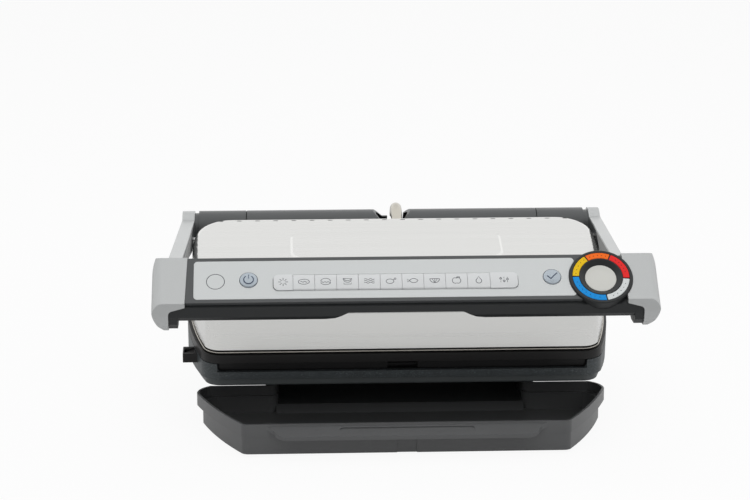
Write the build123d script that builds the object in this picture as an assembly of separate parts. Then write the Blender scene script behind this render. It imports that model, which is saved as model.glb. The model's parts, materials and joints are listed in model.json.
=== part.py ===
from build123d import *
from math import cos, radians, sin, tan
import os

# A countertop contact grill with a hinged lid and a sliding drip tray, in millimetres.
# Origin on the table under the middle of the grill; +X to the user's right, +Y to the back, +Z up.

# Overall size
WIDTH = 455.0
DEPTH = 336.0
FRONT = -DEPTH / 2
BACK = DEPTH / 2
BIG = 600.0

# Casings: a tilted parting plane, the deck, carries both cooking plates
DECK_TILT = 7.0
DECK_FRONT = FRONT + 84.0
DECK_HEIGHT = 66.0
DECK_LENGTH = 197.0
SIDE_FRONT = (183.0, 0.0)
SIDE_MID = (202.5, 100.0)
SIDE_REAR = (197.0, DECK_LENGTH)
FRONT_CORNER_R = 20.0
REAR_CORNER_R = 42.0
WALL = 3.0
CASING_DEPTH = 70.0
ABOVE = (-30.0, 0.0, 120.0)

# Base
BASE_LIP = 51.0
BASE_FLOOR = 44.0
LIP_INSET = 4.0
FLOOR_THICK = 2.5
WINDOW_HALF = 172.0
WINDOW_SILL = 58.0
LEG_HALF = 165.0
LEG_FRONT = 76.0
LEG_TOP = 88.0
LEG_BACK = BACK - 1.0
LEG_CORNER_R = 18.0
FIT_GAP = 0.3
FOOT_HEIGHT = 8.0
RAIL_HALF = 128.0
RAIL_WIDTH = 9.0
RAIL_FRONT = -30.0
FRONT_FOOT_R = 4.4
REAR_FOOT_R = 9.0
LEDGE_INSET = 12.0
LEDGE_TUCK = 0.5
PLATE_SEAT = 2.5
PLATE_ROOM = 20.0
PAN_EDGE_R = 2.0
DRAIN_SLOT = (22.0, 7.0, 14.0)
REAR_RELIEF = (94.0, 113.0, 2.2)
REAR_FOOT = (145.0, BACK - 22.0)
POWER_BOARD = ((-90.0, 90.0), (95.0, 150.0), (24.0, 25.6))
BASE_SCREW = (2.0, 1.5)
PAN_SCREWS = ((105.0, -60.0), (150.0, 40.0), (100.0, 60.0))
LEG_SCREWS = ((60.0, 120.0), (140.0, 120.0))

# Hinge
HINGE_Y = 131.0
HINGE_Z = 142.0
BARREL_R = 20.0
BRACKET_X = (122.0, 138.0)
BRACKET_R = 13.0
PIN_X = (118.0, 190.0)
HOUSING_HALF = 146.0
KNUCKLE_IN = 146.8
KNUCKLE_OUT = 194.0
PIN_R = 4.0
PIN_CLEARANCE = 0.05
BUSH_R = 6.5
BUSH_END = 188.0
BORE_CLEARANCE = 0.5
SLOT_HALF = 8.0
SLOT_R = 31.0
DIP_HALF = 9.0
DIP_TOP_HALF = 20.0
DIP_HEIGHT = 10.0
CONDUIT_X = 4.5
CONDUIT_BEND = 21.0
CONDUIT_R = 5.6
CONDUIT_PLAY = 0.4
CONDUIT_LEAD = 32.0
CONDUIT_LEAN = 120
CONDUIT_WALL = 1.5
CONDUIT_TURN = (80, 30)
GLAND = (100.0, 105.0)
GLAND_R = 8.0
GLAND_DEPTH = 12.0
COLLAR_R = 10.5
COLLAR_THICK = 3.0
CORD_R = 3.7

# Lid arms, their float pivot and the handle ends
ARM_BEND = (117.0, 156.2)
ARM_FRONT = -109.5
ARM_TOP_FRONT = 172.5
ARM_UNDER = ((ARM_FRONT, 150.0), (-24.0, 150.0), (88.0, 133.0), (HINGE_Y - 8, HINGE_Z - 18))
ARM_SKIN = 2.2
LEFT_SKIN = (198.3, 201.3, 210.6, 213.8)
LEFT_LINER = (198.3, 199.3, 210.6, 213.8)
RIGHT_SKIN = (199.2, 188.5, 210.4, 198.2)
RELIEF_X = 198.3
RELIEF_HEIGHT = 9.0
PIVOT_Y = 86.0
PIVOT_Z = 143.0
PIVOT_R = 3.0
PIVOT_EAR_X = (168.0, 172.0)
PIVOT_EAR_R = 6.5
PIVOT_END = 205.0

# Handle bar and control panel, laid out on a sloping plane
PANEL_TILT = 41.0
PANEL_FRONT = -153.0
PANEL_HEIGHT = 144.0
PANEL_LENGTH = 48.3
PANEL_HALF = 197.4
FRAME_THICK = 4.0
FASCIA_RISE = 0.3
FASCIA_CORNER_R = 3.5
FASCIA_LEFT = -190.0
FASCIA_RIGHT = 152.0
FASCIA_FRONT = 3.5
FASCIA_BACK = 44.5
FASCIA_THICK = 1.5
BUTTON_R = 8.0
BUTTON_V = 23.8
BUTTON_TOP = 2.2
BUTTON_DOME_R = 24.0
STEM = 1.2
POWER_U = -141.0
OK_U = 131.0
KEY_EDGES = (-119.0, -101.5, -82.0, -62.5, -43.0, -23.5, -4.0, 15.5, 35.0, 54.6, 75.0, 100.0)
KEY_FRONT = 12.2
KEY_BACK = 28.8
KEY_GAP = 0.3
KEY_TOP = 1.8
KEY_CROWN_R = 60.0
KEY_SHOULDER = 1.0
BUTTON_SHOULDER = 1.2
KEY_CORNER_R = 5.0
BOARD = (-8.0, 24.0, -9.5)
BOARD_SIZE = (300.0, 32.0, 1.6)
DIAL_U = 175.0
DIAL_V = 22.6
DIAL_R = 28.8
DIAL_DEPTH = 7.5
RING_OUT = 25.8
RING_IN = 19.6
RING_TOP = 2.2
WINDOW_R = 14.1
WINDOW_TOP = -0.8
WINDOW_THICK = 3.2
LEVEL_THICK = 0.8
DIAL_CLEARANCE = 0.2
SEAT_DEPTH = 17.0
DIAL_CUT = 20.0
SEGMENT_PLAY = 0.4
SEAT_WALL = 1.2
LEVELS = (("yellow", 121.5, 178.5), ("orange", 67.0, 120.0), ("red", -4.5, 65.5),
          ("white", -81.0, -6.0), ("blue", -180.0, -82.5))

# Handle bar under the panel: its chin, the finger scallop under it and the room for the board
BAR_BOTTOM = 127.0
BAR_CHIN = (3.5, 130.5)
BAR_SOLE = -136.0
BAR_BACK = (158.0, 2.7)
SCALLOP = ((-72.0, 120.0), (-72.0, 127.0), (-64.0, 128.0), (-52.0, 133.6), (50.0, 133.6), (62.0, 128.0),
           (70.0, 127.0), (70.0, 120.0))
CAVITY = (-5.0, 24.0, -8.0)
CAVITY_SIZE = (360.0, 36.0, 8.0)

# Handle ends: the silver hook round each end of the bar and the dark lug inside it
END_IN = 197.7
END_OUT = WIDTH / 2
END_EDGE_R = 10.0
END_BACK_R = 12.0
HOOK_IN = 212.4
HOOK_TOP = 136.0
HOOK_BOTTOM = 116.9
HOOK_R = 4.0
HOOK_ARC = ((END_OUT, 138.0), (END_OUT - 3.4, 126.0), (END_OUT - 11.5, HOOK_BOTTOM))
NOTCH_START = (END_IN - 5, 141.1)
END_PROUD = 0.5
END_TOP = (ARM_FRONT - 2.5, 174.8)
END_UNDER = ((ARM_FRONT, 171.5), (ARM_FRONT, 140.0), (-112.5, 131.0), (-120.0, 121.5), (-131.0, 117.0),
             (-146.0, 117.3), (-152.5, 123.0), (-154.6, 131.0))
NOTCH_TOP = 139.8
LUG_IN = 204.2
LUG_INSET = 1.5
TENON_INSET = 3.0
TENON_HALF = 208.0
HANDLE_SCREW = (-130.0, 150.0)
SCREW_R = 2.0
SCREW_HOLE = (199.0, 212.0)

# Upper housing
SKIRT_TOP = 9.0
COVER_BOTTOM = 12.4
COVER_INSET = 3.8
COVER_DRAFT = 2.0
COVER_SKIN = 1.0
COVER_FRONT_TOP = 118.0
COVER_SLOPE = 13.9
COVER_FILLET = 7.5
CARRIER_N = 19.0
UPSTAND = (4.9, 7.4, 9.4)
TRIM = (2.6, 4.4, 9.8, 11.2)
VENT_COUNT = 20
VENT_PITCH = 18.0
VENT_SIZE = (7.0, 2.2)
VENT_Y = DECK_FRONT + DECK_LENGTH - COVER_INSET - 16.0
VENT_SPAN = 20.0
VENT_FLOOR = 151.0
PAD_SIZE = (207.0, 61.0)
PAD_CENTRE = 127.5
PAD_RISE = 1.6
PAD_SINK = 0.5
PAD_CORNER = 16.0
PAD_TAPER = 55.0

# Cooking plates
PLATE_INSET = 5.0
PLATE_BACK = 172.0
PLATE_RIM = 3.0
RIB_COUNT = 24
RIB_WIDTH = 3.6
RIB_HEIGHT = 3.2
PLATE_GAP = 1.5
PLATE_THICK = 4.0
RIB_SPAN = 172.0
RIB_ENDS = (22.0, 12.0)
DRAIN_HALF = 14.0

# Heating: one long loop over each plate, with its bright tray and its thermostat
HEATER_LOOP = ((-150.0, 155.0), (-150.0, 42.0), (150.0, 42.0), (150.0, 155.0), (60.0, 155.0), (60.0, 88.0),
               (-60.0, 88.0), (-60.0, 155.0))
HEATER_BEND = 18.0
HEATER_R = 3.2
LOWER_HEATER = -13.2
UPPER_HEATER = 12.6
REFLECTOR_INSET = 30.0
REFLECTOR_SKIN = 0.8
LOWER_REFLECTOR = (-17.6, -12.6)
UPPER_REFLECTOR = (12.4, 17.2)
THERMOSTAT_PLACE = 66.0
THERMOSTAT_SIZE = (8.0, 5.0)
LOWER_THERMOSTAT = -13.0

# Plate release buttons, in deck coordinates: low and high along the slope, then height
LOWER_RELEASE = (29.0, 46.0, -10.5, -1.5)
UPPER_RELEASE = (105.0, 133.0, 1.5, 8.2)
LOWER_RELEASE_X = (188.5, 205.0)
UPPER_RELEASE_X = (196.0, 211.5)
RELEASE_GAP = 0.5
RELEASE_STEM = 4.0
RELEASE_GRIP = (3.0, 1.4, 1.2, 0.8)

# Drip tray
TRAY_RIM = 31.0
TRAY_BOTTOM = 3.0
TRAY_WALL = 2.2
TRAY_FRONT = FRONT + 12.0
TRAY_BACK = -41.0
TRAY_HALF_FRONT = 147.0
TRAY_HALF_BACK = 186.5
TRAY_CORNER_R = 8.0
SHOULDER = (12.0, 23.0)
FACET_BOW = 3.5
BAND_BOTTOM = 19.5
BAND_OUT = (0.4, 5.5, 3.0)
TONGUE_HALF = 118.0
TONGUE_BACK = 64.0
TONGUE_CORNER_R = 8.0
TONGUE_FLOOR = 12.0
LEDGE_HALF_BACK = 131.0
LEDGE_HALF_FRONT = 108.0
LEDGE_DROP = 8.0
LEDGE_THICK = 3.7
LEDGE_SLOT = (122.0, 6.6)
LEDGE_SLOT_DEPTH = 0.8
LEDGE_BEND = 4.7
NOTCH = (9.0, 1.0, 23.0)


def deck(n=0.0):
    """Plane parallel to the deck, n above it; local y runs up the slope to the back."""
    tilt = radians(DECK_TILT)
    return Plane(origin=(0, DECK_FRONT - n * sin(tilt), DECK_HEIGHT + n * cos(tilt)),
                 x_dir=(1, 0, 0), z_dir=(0, -sin(tilt), cos(tilt)))


def panel(w=0.0, u=0.0, v=0.0):
    """Plane of the control panel, w above its face, moved to the point u, v on it."""
    tilt = radians(PANEL_TILT)
    normal = Vector(0, -sin(tilt), cos(tilt))
    along = Vector(0, cos(tilt), sin(tilt))
    origin = Vector(u, PANEL_FRONT, PANEL_HEIGHT) + along * v + normal * w
    return Plane(origin=origin, x_dir=(1, 0, 0), z_dir=normal)


def panel_point(v, w):
    """Y and Z of a point v up the panel's slope and w above its face."""
    tilt = radians(PANEL_TILT)
    return (PANEL_FRONT + v * cos(tilt) - w * sin(tilt), PANEL_HEIGHT + v * sin(tilt) + w * cos(tilt))


def span(x, y, z):
    """Box between the low and high values of x, y and z."""
    return Pos((x[0] + x[1]) / 2, (y[0] + y[1]) / 2, (z[0] + z[1]) / 2) * Box(
        x[1] - x[0], y[1] - y[0], z[1] - z[0])


def outline(inset=0.0):
    """Plan outline of the casings in deck coordinates, with bowed sides, drawn in by inset."""
    side = ThreePointArc(SIDE_FRONT, SIDE_MID, SIDE_REAR)
    front = Line((-SIDE_FRONT[0], 0), SIDE_FRONT)
    rear = Line(SIDE_REAR, (-SIDE_REAR[0], DECK_LENGTH))
    edges = [edge for line in (front, side, rear) for edge in line.edges()]
    face = make_face(edges + [mirror(side.edges()[0], about=Plane.YZ)])
    face = fillet([point for point in face.vertices() if point.Y < 1], FRONT_CORNER_R)
    face = fillet([point for point in face.vertices() if point.Y > DECK_LENGTH - 1], REAR_CORNER_R)
    if inset:
        face = offset(face, amount=-inset, kind=Kind.ARC)
    return face


def slab(inset, low, high):
    """Block with the casing outline between two heights over the deck."""
    return extrude(deck(low) * outline(inset), amount=high - low)


def side_profile(points, low, high):
    """Outline in Y and Z pushed along X from low to high."""
    face = Plane.YZ.offset(low) * make_face(Polyline(*points, close=True))
    return extrude(face, amount=high - low)


def both(shape):
    """The shape and its mirror image on the other side."""
    return [shape, mirror(shape, about=Plane.YZ)]


def rod_x(radius, low, high, y, z):
    """Round bar along X."""
    return Plane(origin=(low, y, z), z_dir=(1, 0, 0)) * extrude(Circle(radius), amount=high - low)


def rod_z(radius, low, high, x, y):
    """Round upright bar."""
    return Pos(x, y, low) * extrude(Circle(radius), amount=high - low)


def solid_of(shape):
    """The largest solid of a cut shape."""
    return max(shape.solids(), key=lambda body: body.volume)


def deck_box(x, along, height):
    """Box laid out in deck coordinates."""
    place = Pos((x[0] + x[1]) / 2, (along[0] + along[1]) / 2, (height[0] + height[1]) / 2)
    return deck() * place * Box(abs(x[1] - x[0]), along[1] - along[0], height[1] - height[0])


def release_hole(limits, reach):
    """Opening in a casing's left side for a release button."""
    grow = RELEASE_GAP
    return deck_box((-BIG, -reach), (limits[0] - grow, limits[1] + grow),
                    (limits[2] - grow, limits[3] + grow))


def leg_block(grow, low, high):
    """Upright block with the plan of the base's rear leg, grown all round by grow."""
    plan = RectangleRounded(2 * (LEG_HALF + grow), LEG_BACK - LEG_FRONT + 2 * grow, LEG_CORNER_R + grow)
    return Pos(0, (LEG_BACK + LEG_FRONT) / 2, low) * extrude(plan, amount=high - low)


def base_shell():
    """Lower casing: a rim wall round the cooking plate and a deep leg block at the back."""
    above_lip = span((-BIG, BIG), (-BIG, BIG), (BASE_LIP, BIG))
    rim = (slab(0, -CASING_DEPTH, 0) - slab(WALL, -CASING_DEPTH, 1)) & above_lip
    block = leg_block(0, FOOT_HEIGHT, LEG_TOP)
    hollow = leg_block(-WALL, FOOT_HEIGHT, LEG_TOP - WALL)
    shell = rim + (block - slab(*ABOVE)) - hollow
    seat = -PLATE_GAP - RIB_HEIGHT - PLATE_THICK
    shell = shell - (slab(WALL, -PLATE_ROOM, 1) & above_lip)
    ledge = slab(WALL - LEDGE_TUCK, seat - PLATE_SEAT, seat) - slab(LEDGE_INSET, seat - 4, seat + 1)
    shell = shell + (ledge & above_lip)
    depth = (DECK_FRONT - WALL, DECK_FRONT + WALL + 1)
    window = span((-WINDOW_HALF, WINDOW_HALF), depth, (WINDOW_SILL, LEG_TOP))
    shell = shell - window
    for bracket in both(hinge_bracket()):
        shell = shell + bracket
    shell = shell - release_hole(LOWER_RELEASE, LOWER_RELEASE_X[0] - RELEASE_STEM)
    front, back, depth = REAR_RELIEF
    rear_relief = slab(-WALL, -depth, WALL) & span((-BIG, BIG), (front, back), (BASE_LIP, BIG))
    return solid_of(shell - rear_relief)


def hinge_bracket():
    """Upright that holds one hinge pin inside the rear housing."""
    foot = span(BRACKET_X, (HINGE_Y - BRACKET_R, HINGE_Y + BRACKET_R), (LEG_TOP - 1, HINGE_Z))
    eye = rod_x(BRACKET_R, *BRACKET_X, HINGE_Y, HINGE_Z)
    return foot + eye - rod_x(PIN_R, BRACKET_X[0] - 1, BRACKET_X[1] + 1, HINGE_Y, HINGE_Z)


def base_bottom_cover():
    """Pan that closes the front of the base, with the two rails beside the tray channel."""
    plan = Pos(0, DECK_FRONT, 0) * outline(LIP_INSET)
    inner = Pos(0, DECK_FRONT, 0) * outline(LIP_INSET + WALL)
    pan = extrude(Pos(0, 0, BASE_FLOOR) * plan, amount=BASE_LIP - BASE_FLOOR)
    pan = pan - extrude(Pos(0, 0, BASE_FLOOR + FLOOR_THICK) * inner, amount=BASE_LIP)
    pan = pan - leg_block(FIT_GAP, 0, BASE_LIP + 1)
    front_edge = pan.edges().filter_by(Axis.X).sort_by(Axis.Y)[0:1]
    pan = fillet(front_edge, PAN_EDGE_R)
    half, low, high = DRAIN_SLOT
    pan = pan - span((-half, half), (DECK_FRONT + low, DECK_FRONT + high), (BASE_FLOOR - 1, BASE_LIP + 1))
    for side in (-1, 1):
        x = sorted((side * RAIL_HALF, side * (RAIL_HALF - RAIL_WIDTH)))
        pan = pan + span(x, (RAIL_FRONT, LEG_FRONT - FIT_GAP), (FOOT_HEIGHT, BASE_FLOOR + 1))
    return solid_of(pan)


def leg_cover():
    """Plate under the leg block."""
    return leg_block(-WALL - FIT_GAP, FOOT_HEIGHT, FOOT_HEIGHT + FLOOR_THICK)


def base_feet():
    """Four rubber feet."""
    front = rod_z(FRONT_FOOT_R, 0, FOOT_HEIGHT, RAIL_HALF - RAIL_WIDTH / 2, RAIL_FRONT + 7)
    rear = rod_z(REAR_FOOT_R, 0, FOOT_HEIGHT, *REAR_FOOT)
    return Compound(both(front) + both(rear))


def housing_section(inset):
    """Solid section of the rear housing round the hinge barrel, drawn in by inset, without its ends."""
    half = HOUSING_HALF - inset
    radius = BARREL_R - inset
    slope = 0.7 * radius
    points = [(HINGE_Y - BARREL_R + 1.5 + inset, LEG_TOP), (HINGE_Y - radius, HINGE_Z - 18),
              (HINGE_Y - radius, HINGE_Z), (HINGE_Y, HINGE_Z), (HINGE_Y + slope, HINGE_Z + slope),
              (BACK - inset, HINGE_Z - 9 - inset), (BACK - inset, LEG_TOP)]
    return side_profile(points, -half, half) + rod_x(radius, -half, half, HINGE_Y, HINGE_Z)


def rear_housing():
    """Fixed centre cover of the hinge, with a dip where the wiring conduit passes."""
    shell = housing_section(0) - housing_section(WALL)
    for side in (-1, 1):
        x = sorted((side * PIN_X[0], side * KNUCKLE_IN))
        shell = shell - rod_x(PIN_R + BORE_CLEARANCE, x[0], x[1], HINGE_Y, HINGE_Z)
    slot = rod_x(SLOT_R, CONDUIT_X - SLOT_HALF, CONDUIT_X + SLOT_HALF, HINGE_Y, HINGE_Z)
    bottom = HINGE_Z + DIP_HEIGHT
    top = HINGE_Z + BARREL_R + 1
    dip_face = make_face(Polyline((-DIP_TOP_HALF, top), (-DIP_HALF, bottom), (DIP_HALF, bottom),
                                  (DIP_TOP_HALF, top), close=True))
    dip = Plane(origin=(0, BACK, 0), x_dir=(1, 0, 0), z_dir=(0, -1, 0)) * dip_face
    dip = extrude(dip, amount=BACK - HINGE_Y + BARREL_R + 1)
    gland_hole = gland_place(-GLAND_DEPTH) * extrude(Circle(GLAND_R), amount=2 * GLAND_DEPTH)
    return solid_of(shell - slot - dip - gland_hole)


def gland_place(depth):
    """Plane across the cord gland, facing backwards, moved back from the housing's face by depth."""
    return Plane(origin=(GLAND[0], BACK + depth, GLAND[1]), z_dir=(0, 1, 0))


def cord_gland():
    """Strain-relief bush in the rear housing, with its bore for the mains cord."""
    body = gland_place(-GLAND_DEPTH) * extrude(Circle(GLAND_R), amount=GLAND_DEPTH)
    collar = gland_place(-WALL - COLLAR_THICK) * extrude(Circle(COLLAR_R), amount=COLLAR_THICK)
    return body + collar - gland_place(-GLAND_DEPTH - 1) * extrude(Circle(CORD_R), amount=2 * GLAND_DEPTH)


def hinge_pins():
    """Two steel hinge pins, pressed into the brackets."""
    return Compound(both(rod_x(PIN_R, *PIN_X, HINGE_Y, HINGE_Z)))


def hinge_bushes():
    """Two plain bushes in the arm knuckles."""
    bush = rod_x(BUSH_R, KNUCKLE_IN, BUSH_END, HINGE_Y, HINGE_Z)
    return Compound(both(bush - rod_x(PIN_R + PIN_CLEARANCE, *PIN_X, HINGE_Y, HINGE_Z)))


def arm_blank(inset, x_low, x_high):
    """Side shape of an arm with its hinge barrel, drawn in by inset, from x_low to x_high."""
    points = [(ARM_BEND[0], ARM_BEND[1] - inset), (ARM_FRONT + inset, ARM_TOP_FRONT - inset),
              (ARM_FRONT + inset, ARM_UNDER[0][1] + inset)]
    points += [(y, z + inset) for y, z in ARM_UNDER[1:]] + [(HINGE_Y, HINGE_Z)]
    bar = side_profile(points, x_low, x_high)
    return bar + rod_x(BARREL_R - inset, x_low, x_high, HINGE_Y, HINGE_Z)


def arm_plan(lines, inset):
    """Plan of an arm: straight round the barrel, then running aside to the handle."""
    inner_rear, inner_front, outer_rear, outer_front = lines
    far = HINGE_Y + BARREL_R + 5
    points = [(inner_rear, far), (outer_rear - inset, far), (outer_rear - inset, ARM_BEND[0]),
              (outer_front - inset, ARM_FRONT), (inner_front, ARM_FRONT), (inner_rear, ARM_BEND[0])]
    return extrude(make_face(Polyline(*points, close=True)), amount=BIG)


def cover_relief():
    """Room beside and over the edge of the floating cover that an arm stays out of."""
    beside = span((KNUCKLE_IN, RELIEF_X), (FRONT, HINGE_Y - BARREL_R - 7), (DECK_HEIGHT, BIG))
    return beside - top_plane(-RELIEF_HEIGHT)


def under_skin():
    """Everything under the top wall of an arm, near the cover."""
    front = ARM_FRONT + ARM_SKIN
    return side_profile([(ARM_BEND[0], ARM_BEND[1] - ARM_SKIN), (front, ARM_TOP_FRONT - ARM_SKIN),
                         (front, DECK_HEIGHT), (ARM_BEND[0], DECK_HEIGHT)], KNUCKLE_IN, RELIEF_X)


def arm_liner(lines):
    """Dark inner half of the right arm with the hinge knuckle, bored for its bush."""
    bar = arm_blank(ARM_SKIN, min(lines), max(lines)) & arm_plan(lines, ARM_SKIN)
    knuckle = rod_x(BARREL_R, KNUCKLE_IN, KNUCKLE_OUT, HINGE_Y, HINGE_Z)
    web = rod_x(BARREL_R - ARM_SKIN, KNUCKLE_OUT - 1, lines[0] + 1, HINGE_Y, HINGE_Z)
    liner = bar - cover_relief() + knuckle + web
    liner = liner - rod_x(BUSH_R, KNUCKLE_IN - 1, BUSH_END, HINGE_Y, HINGE_Z)
    liner = liner - rod_x(PIN_R + BORE_CLEARANCE, BUSH_END - 1, PIN_X[1] + 1, HINGE_Y, HINGE_Z)
    liner = liner - rod_x(PIVOT_R, PIVOT_EAR_X[1], PIVOT_END + 1, PIVOT_Y, PIVOT_Z)
    return solid_of(liner)


def arm_cover(lines):
    """Silver outer skin of the right arm."""
    skin = arm_blank(0, min(lines) - 1, max(lines) + 1) & arm_plan(lines, 0)
    core_lines = (lines[0] - 20, lines[1] - 20, lines[2], lines[3])
    core = arm_blank(ARM_SKIN, min(core_lines), max(lines)) & arm_plan(core_lines, ARM_SKIN)
    return solid_of(skin - core - (cover_relief() & under_skin()))


def bar_section(inset, top):
    """Outline of the handle bar in Y and Z below the panel, drawn in by inset."""
    tilt = radians(PANEL_TILT)
    edge = panel_point(PANEL_LENGTH, -top)
    back = ARM_FRONT - inset
    half = inset / 2
    return [(PANEL_FRONT + inset, PANEL_HEIGHT - top / cos(tilt) + inset * tan(tilt)),
            (PANEL_FRONT + inset, BAR_CHIN[1] + half), (PANEL_FRONT + BAR_CHIN[0] + half, BAR_BOTTOM + inset),
            (BAR_SOLE - half, BAR_BOTTOM + inset), (back, BAR_BACK[0] + half),
            (back, edge[1] - BAR_BACK[1] - inset), (edge[0], edge[1] - inset)]


def end_profile():
    """Side view of a handle end: over the panel, down the front and round under the bar."""
    top_back = panel_point(PANEL_LENGTH + END_PROUD, END_PROUD)
    top_front = panel_point(-1.0, END_PROUD)
    return make_face(Polyline(top_back, END_TOP, *END_UNDER, top_front, close=True))


def end_blank():
    """Outer shape of the right handle end: its side, front and plan views and its rounded top edge."""
    side = extrude(Plane.YZ.offset(END_IN - 5) * end_profile(), amount=END_OUT - END_IN + 5)
    plan = make_face(Polyline((END_IN - 2.2, ARM_FRONT), (END_OUT, ARM_FRONT), (END_OUT, FRONT),
                              (END_IN, FRONT), (END_IN, PANEL_FRONT), close=True))
    corner = plan.vertices().sort_by(Axis.Y)[-2:].sort_by(Axis.X)[-1:]
    plan = fillet(corner, END_BACK_R)
    bottom = ThreePointArc(*HOOK_ARC)
    rest = Polyline(bottom @ 1, (HOOK_IN, HOOK_BOTTOM), (HOOK_IN, HOOK_TOP), NOTCH_START,
                    (NOTCH_START[0], BIG), (END_OUT, BIG), bottom @ 0)
    front = make_face(bottom.edges() + rest.edges())
    front = fillet(front.vertices().sort_by_distance((HOOK_IN, HOOK_TOP, 0))[:1], HOOK_R)
    front = Plane(origin=(0, FRONT, 0), x_dir=(1, 0, 0), z_dir=(0, -1, 0)) * front
    low = END_IN - 5
    crown = make_face(Polyline((low, -90), (END_OUT, -90), (END_OUT, END_PROUD), (low, END_PROUD), close=True))
    crown = fillet(crown.vertices().sort_by(Axis.Y)[-2:].sort_by(Axis.X)[-1:], END_EDGE_R)
    tilt = radians(PANEL_TILT)
    place = Plane(origin=(0, PANEL_FRONT, PANEL_HEIGHT), x_dir=(1, 0, 0), z_dir=(0, -cos(tilt), -sin(tilt)))
    crown = extrude(place * crown, amount=120, both=True)
    return side & extrude(plan, amount=BIG) & extrude(front, amount=-BIG) & crown


def bar_end():
    """Right end of the dark bar under the silver hook, with the lug inside the hook."""
    under = side_profile(bar_section(0, FRAME_THICK), PANEL_HALF - 1, HOOK_IN - FIT_GAP)
    lug = Plane.YZ.offset(LUG_IN) * offset(end_profile(), amount=-LUG_INSET, kind=Kind.ARC)
    lug = extrude(lug, amount=HOOK_IN - FIT_GAP - LUG_IN)
    low = span((0, BIG), (-BIG, BIG), (0, NOTCH_TOP + 2))
    return ((under + lug) & low) - end_blank()


def tenon(low, high):
    """Core of the bar that reaches into the handle ends."""
    return side_profile(bar_section(TENON_INSET, FRAME_THICK + TENON_INSET), low, high)


def handle_grip():
    """Dark lower half of the handle bar with the finger scallop and the dial's seat."""
    grip = side_profile(bar_section(0, FRAME_THICK), -PANEL_HALF, PANEL_HALF)
    seat = panel(-SEAT_DEPTH, DIAL_U, DIAL_V) * extrude(Circle(DIAL_R - SEAT_WALL), amount=SEAT_DEPTH)
    seat = seat & span((0, BIG), (-BIG, ARM_FRONT), (0, BIG))
    scallop = extrude(Plane.XZ * make_face(Polyline(*SCALLOP, close=True)), amount=-FRONT + 1)
    cavity = panel() * Pos(*CAVITY) * Box(*CAVITY_SIZE)
    grip = grip + seat - both(end_blank()) + tenon(-TENON_HALF, TENON_HALF)
    for end in both(bar_end()):
        grip = grip + end
    screws = rod_x(SCREW_R, *SCREW_HOLE, *HANDLE_SCREW)
    grip = grip - scallop - cavity - both(screws)
    dial_well = dial_clearance(-DIAL_DEPTH - BORE_CLEARANCE, DIAL_DEPTH + END_EDGE_R)
    return solid_of(grip - dial_well - slab_over_panel(-FRAME_THICK))


def slab_over_panel(w):
    """Everything above height w over the panel plane, for trimming."""
    return panel(w) * Pos(0, 0, 100) * Box(BIG, 300, 200)


def key_box(index, grow, low, high):
    """Block over one key of the strip, grown all round by grow."""
    left = KEY_EDGES[index] + KEY_GAP / 2 - grow
    right = KEY_EDGES[index + 1] - KEY_GAP / 2 + grow
    width = right - left
    height = KEY_BACK - KEY_FRONT + 2 * grow
    place = panel(low, (left + right) / 2, (KEY_FRONT + KEY_BACK) / 2)
    return place * extrude(Rectangle(width, height), amount=high - low)


def strip_hole(low, high, grow):
    """Rounded block over the whole key strip."""
    width = KEY_EDGES[-1] - KEY_EDGES[0] + 2 * grow
    height = KEY_BACK - KEY_FRONT + 2 * grow
    place = panel(low, (KEY_EDGES[-1] + KEY_EDGES[0]) / 2, (KEY_FRONT + KEY_BACK) / 2)
    return place * extrude(RectangleRounded(width, height, KEY_CORNER_R), amount=high - low)


def round_hole(u, radius, low, high):
    """Cylinder on the panel for a round button."""
    return panel(low, u, BUTTON_V) * extrude(Circle(radius), amount=high - low)


def control_holes(low, high, extra):
    """All the cut-outs for the keys and the two round buttons."""
    radius = BUTTON_R + KEY_GAP + extra
    holes = strip_hole(low, high, KEY_GAP + extra)
    return holes + round_hole(POWER_U, radius, low, high) + round_hole(OK_U, radius, low, high)


def dial_clearance(low, high):
    """Cylinder that clears the dial's bezel."""
    return panel(low, DIAL_U, DIAL_V) * extrude(Circle(DIAL_R + DIAL_CLEARANCE), amount=high - low)


def fascia_block(low, high, grow):
    """Rounded block with the outline of the silver control panel."""
    width = FASCIA_RIGHT - FASCIA_LEFT + 2 * grow
    height = FASCIA_BACK - FASCIA_FRONT + 2 * grow
    place = panel(low, (FASCIA_LEFT + FASCIA_RIGHT) / 2, (FASCIA_FRONT + FASCIA_BACK) / 2)
    return place * extrude(RectangleRounded(width, height, FASCIA_CORNER_R), amount=high - low)


def handle_frame():
    """Dark frame round the control panel, on top of the handle bar."""
    frame = panel(-FRAME_THICK, 0, PANEL_LENGTH / 2) * extrude(
        Rectangle(2 * PANEL_HALF, PANEL_LENGTH), amount=FRAME_THICK)
    frame = frame - fascia_block(-FASCIA_THICK, 5, 0)
    frame = frame - control_holes(-10, 5, 0) - both(end_blank())
    return solid_of(frame - dial_clearance(-DIAL_CUT, DIAL_CUT))


def control_panel():
    """Silver fascia with cut-outs for the keys."""
    plate = fascia_block(-FASCIA_THICK, FASCIA_RISE, 0)
    plate = plate - control_holes(-10, 5, 0)
    return solid_of(plate - dial_clearance(-DIAL_CUT, DIAL_CUT))


def round_button(u):
    """Domed push button with a stem flange under the panel."""
    cap = round_hole(u, BUTTON_R, -FRAME_THICK - STEM, BUTTON_SHOULDER)
    dome = panel(BUTTON_TOP - BUTTON_DOME_R, u, BUTTON_V) * Sphere(BUTTON_DOME_R)
    top = round_hole(u, BUTTON_R, 0, BUTTON_TOP) & dome
    return solid_of(cap + top)


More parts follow.
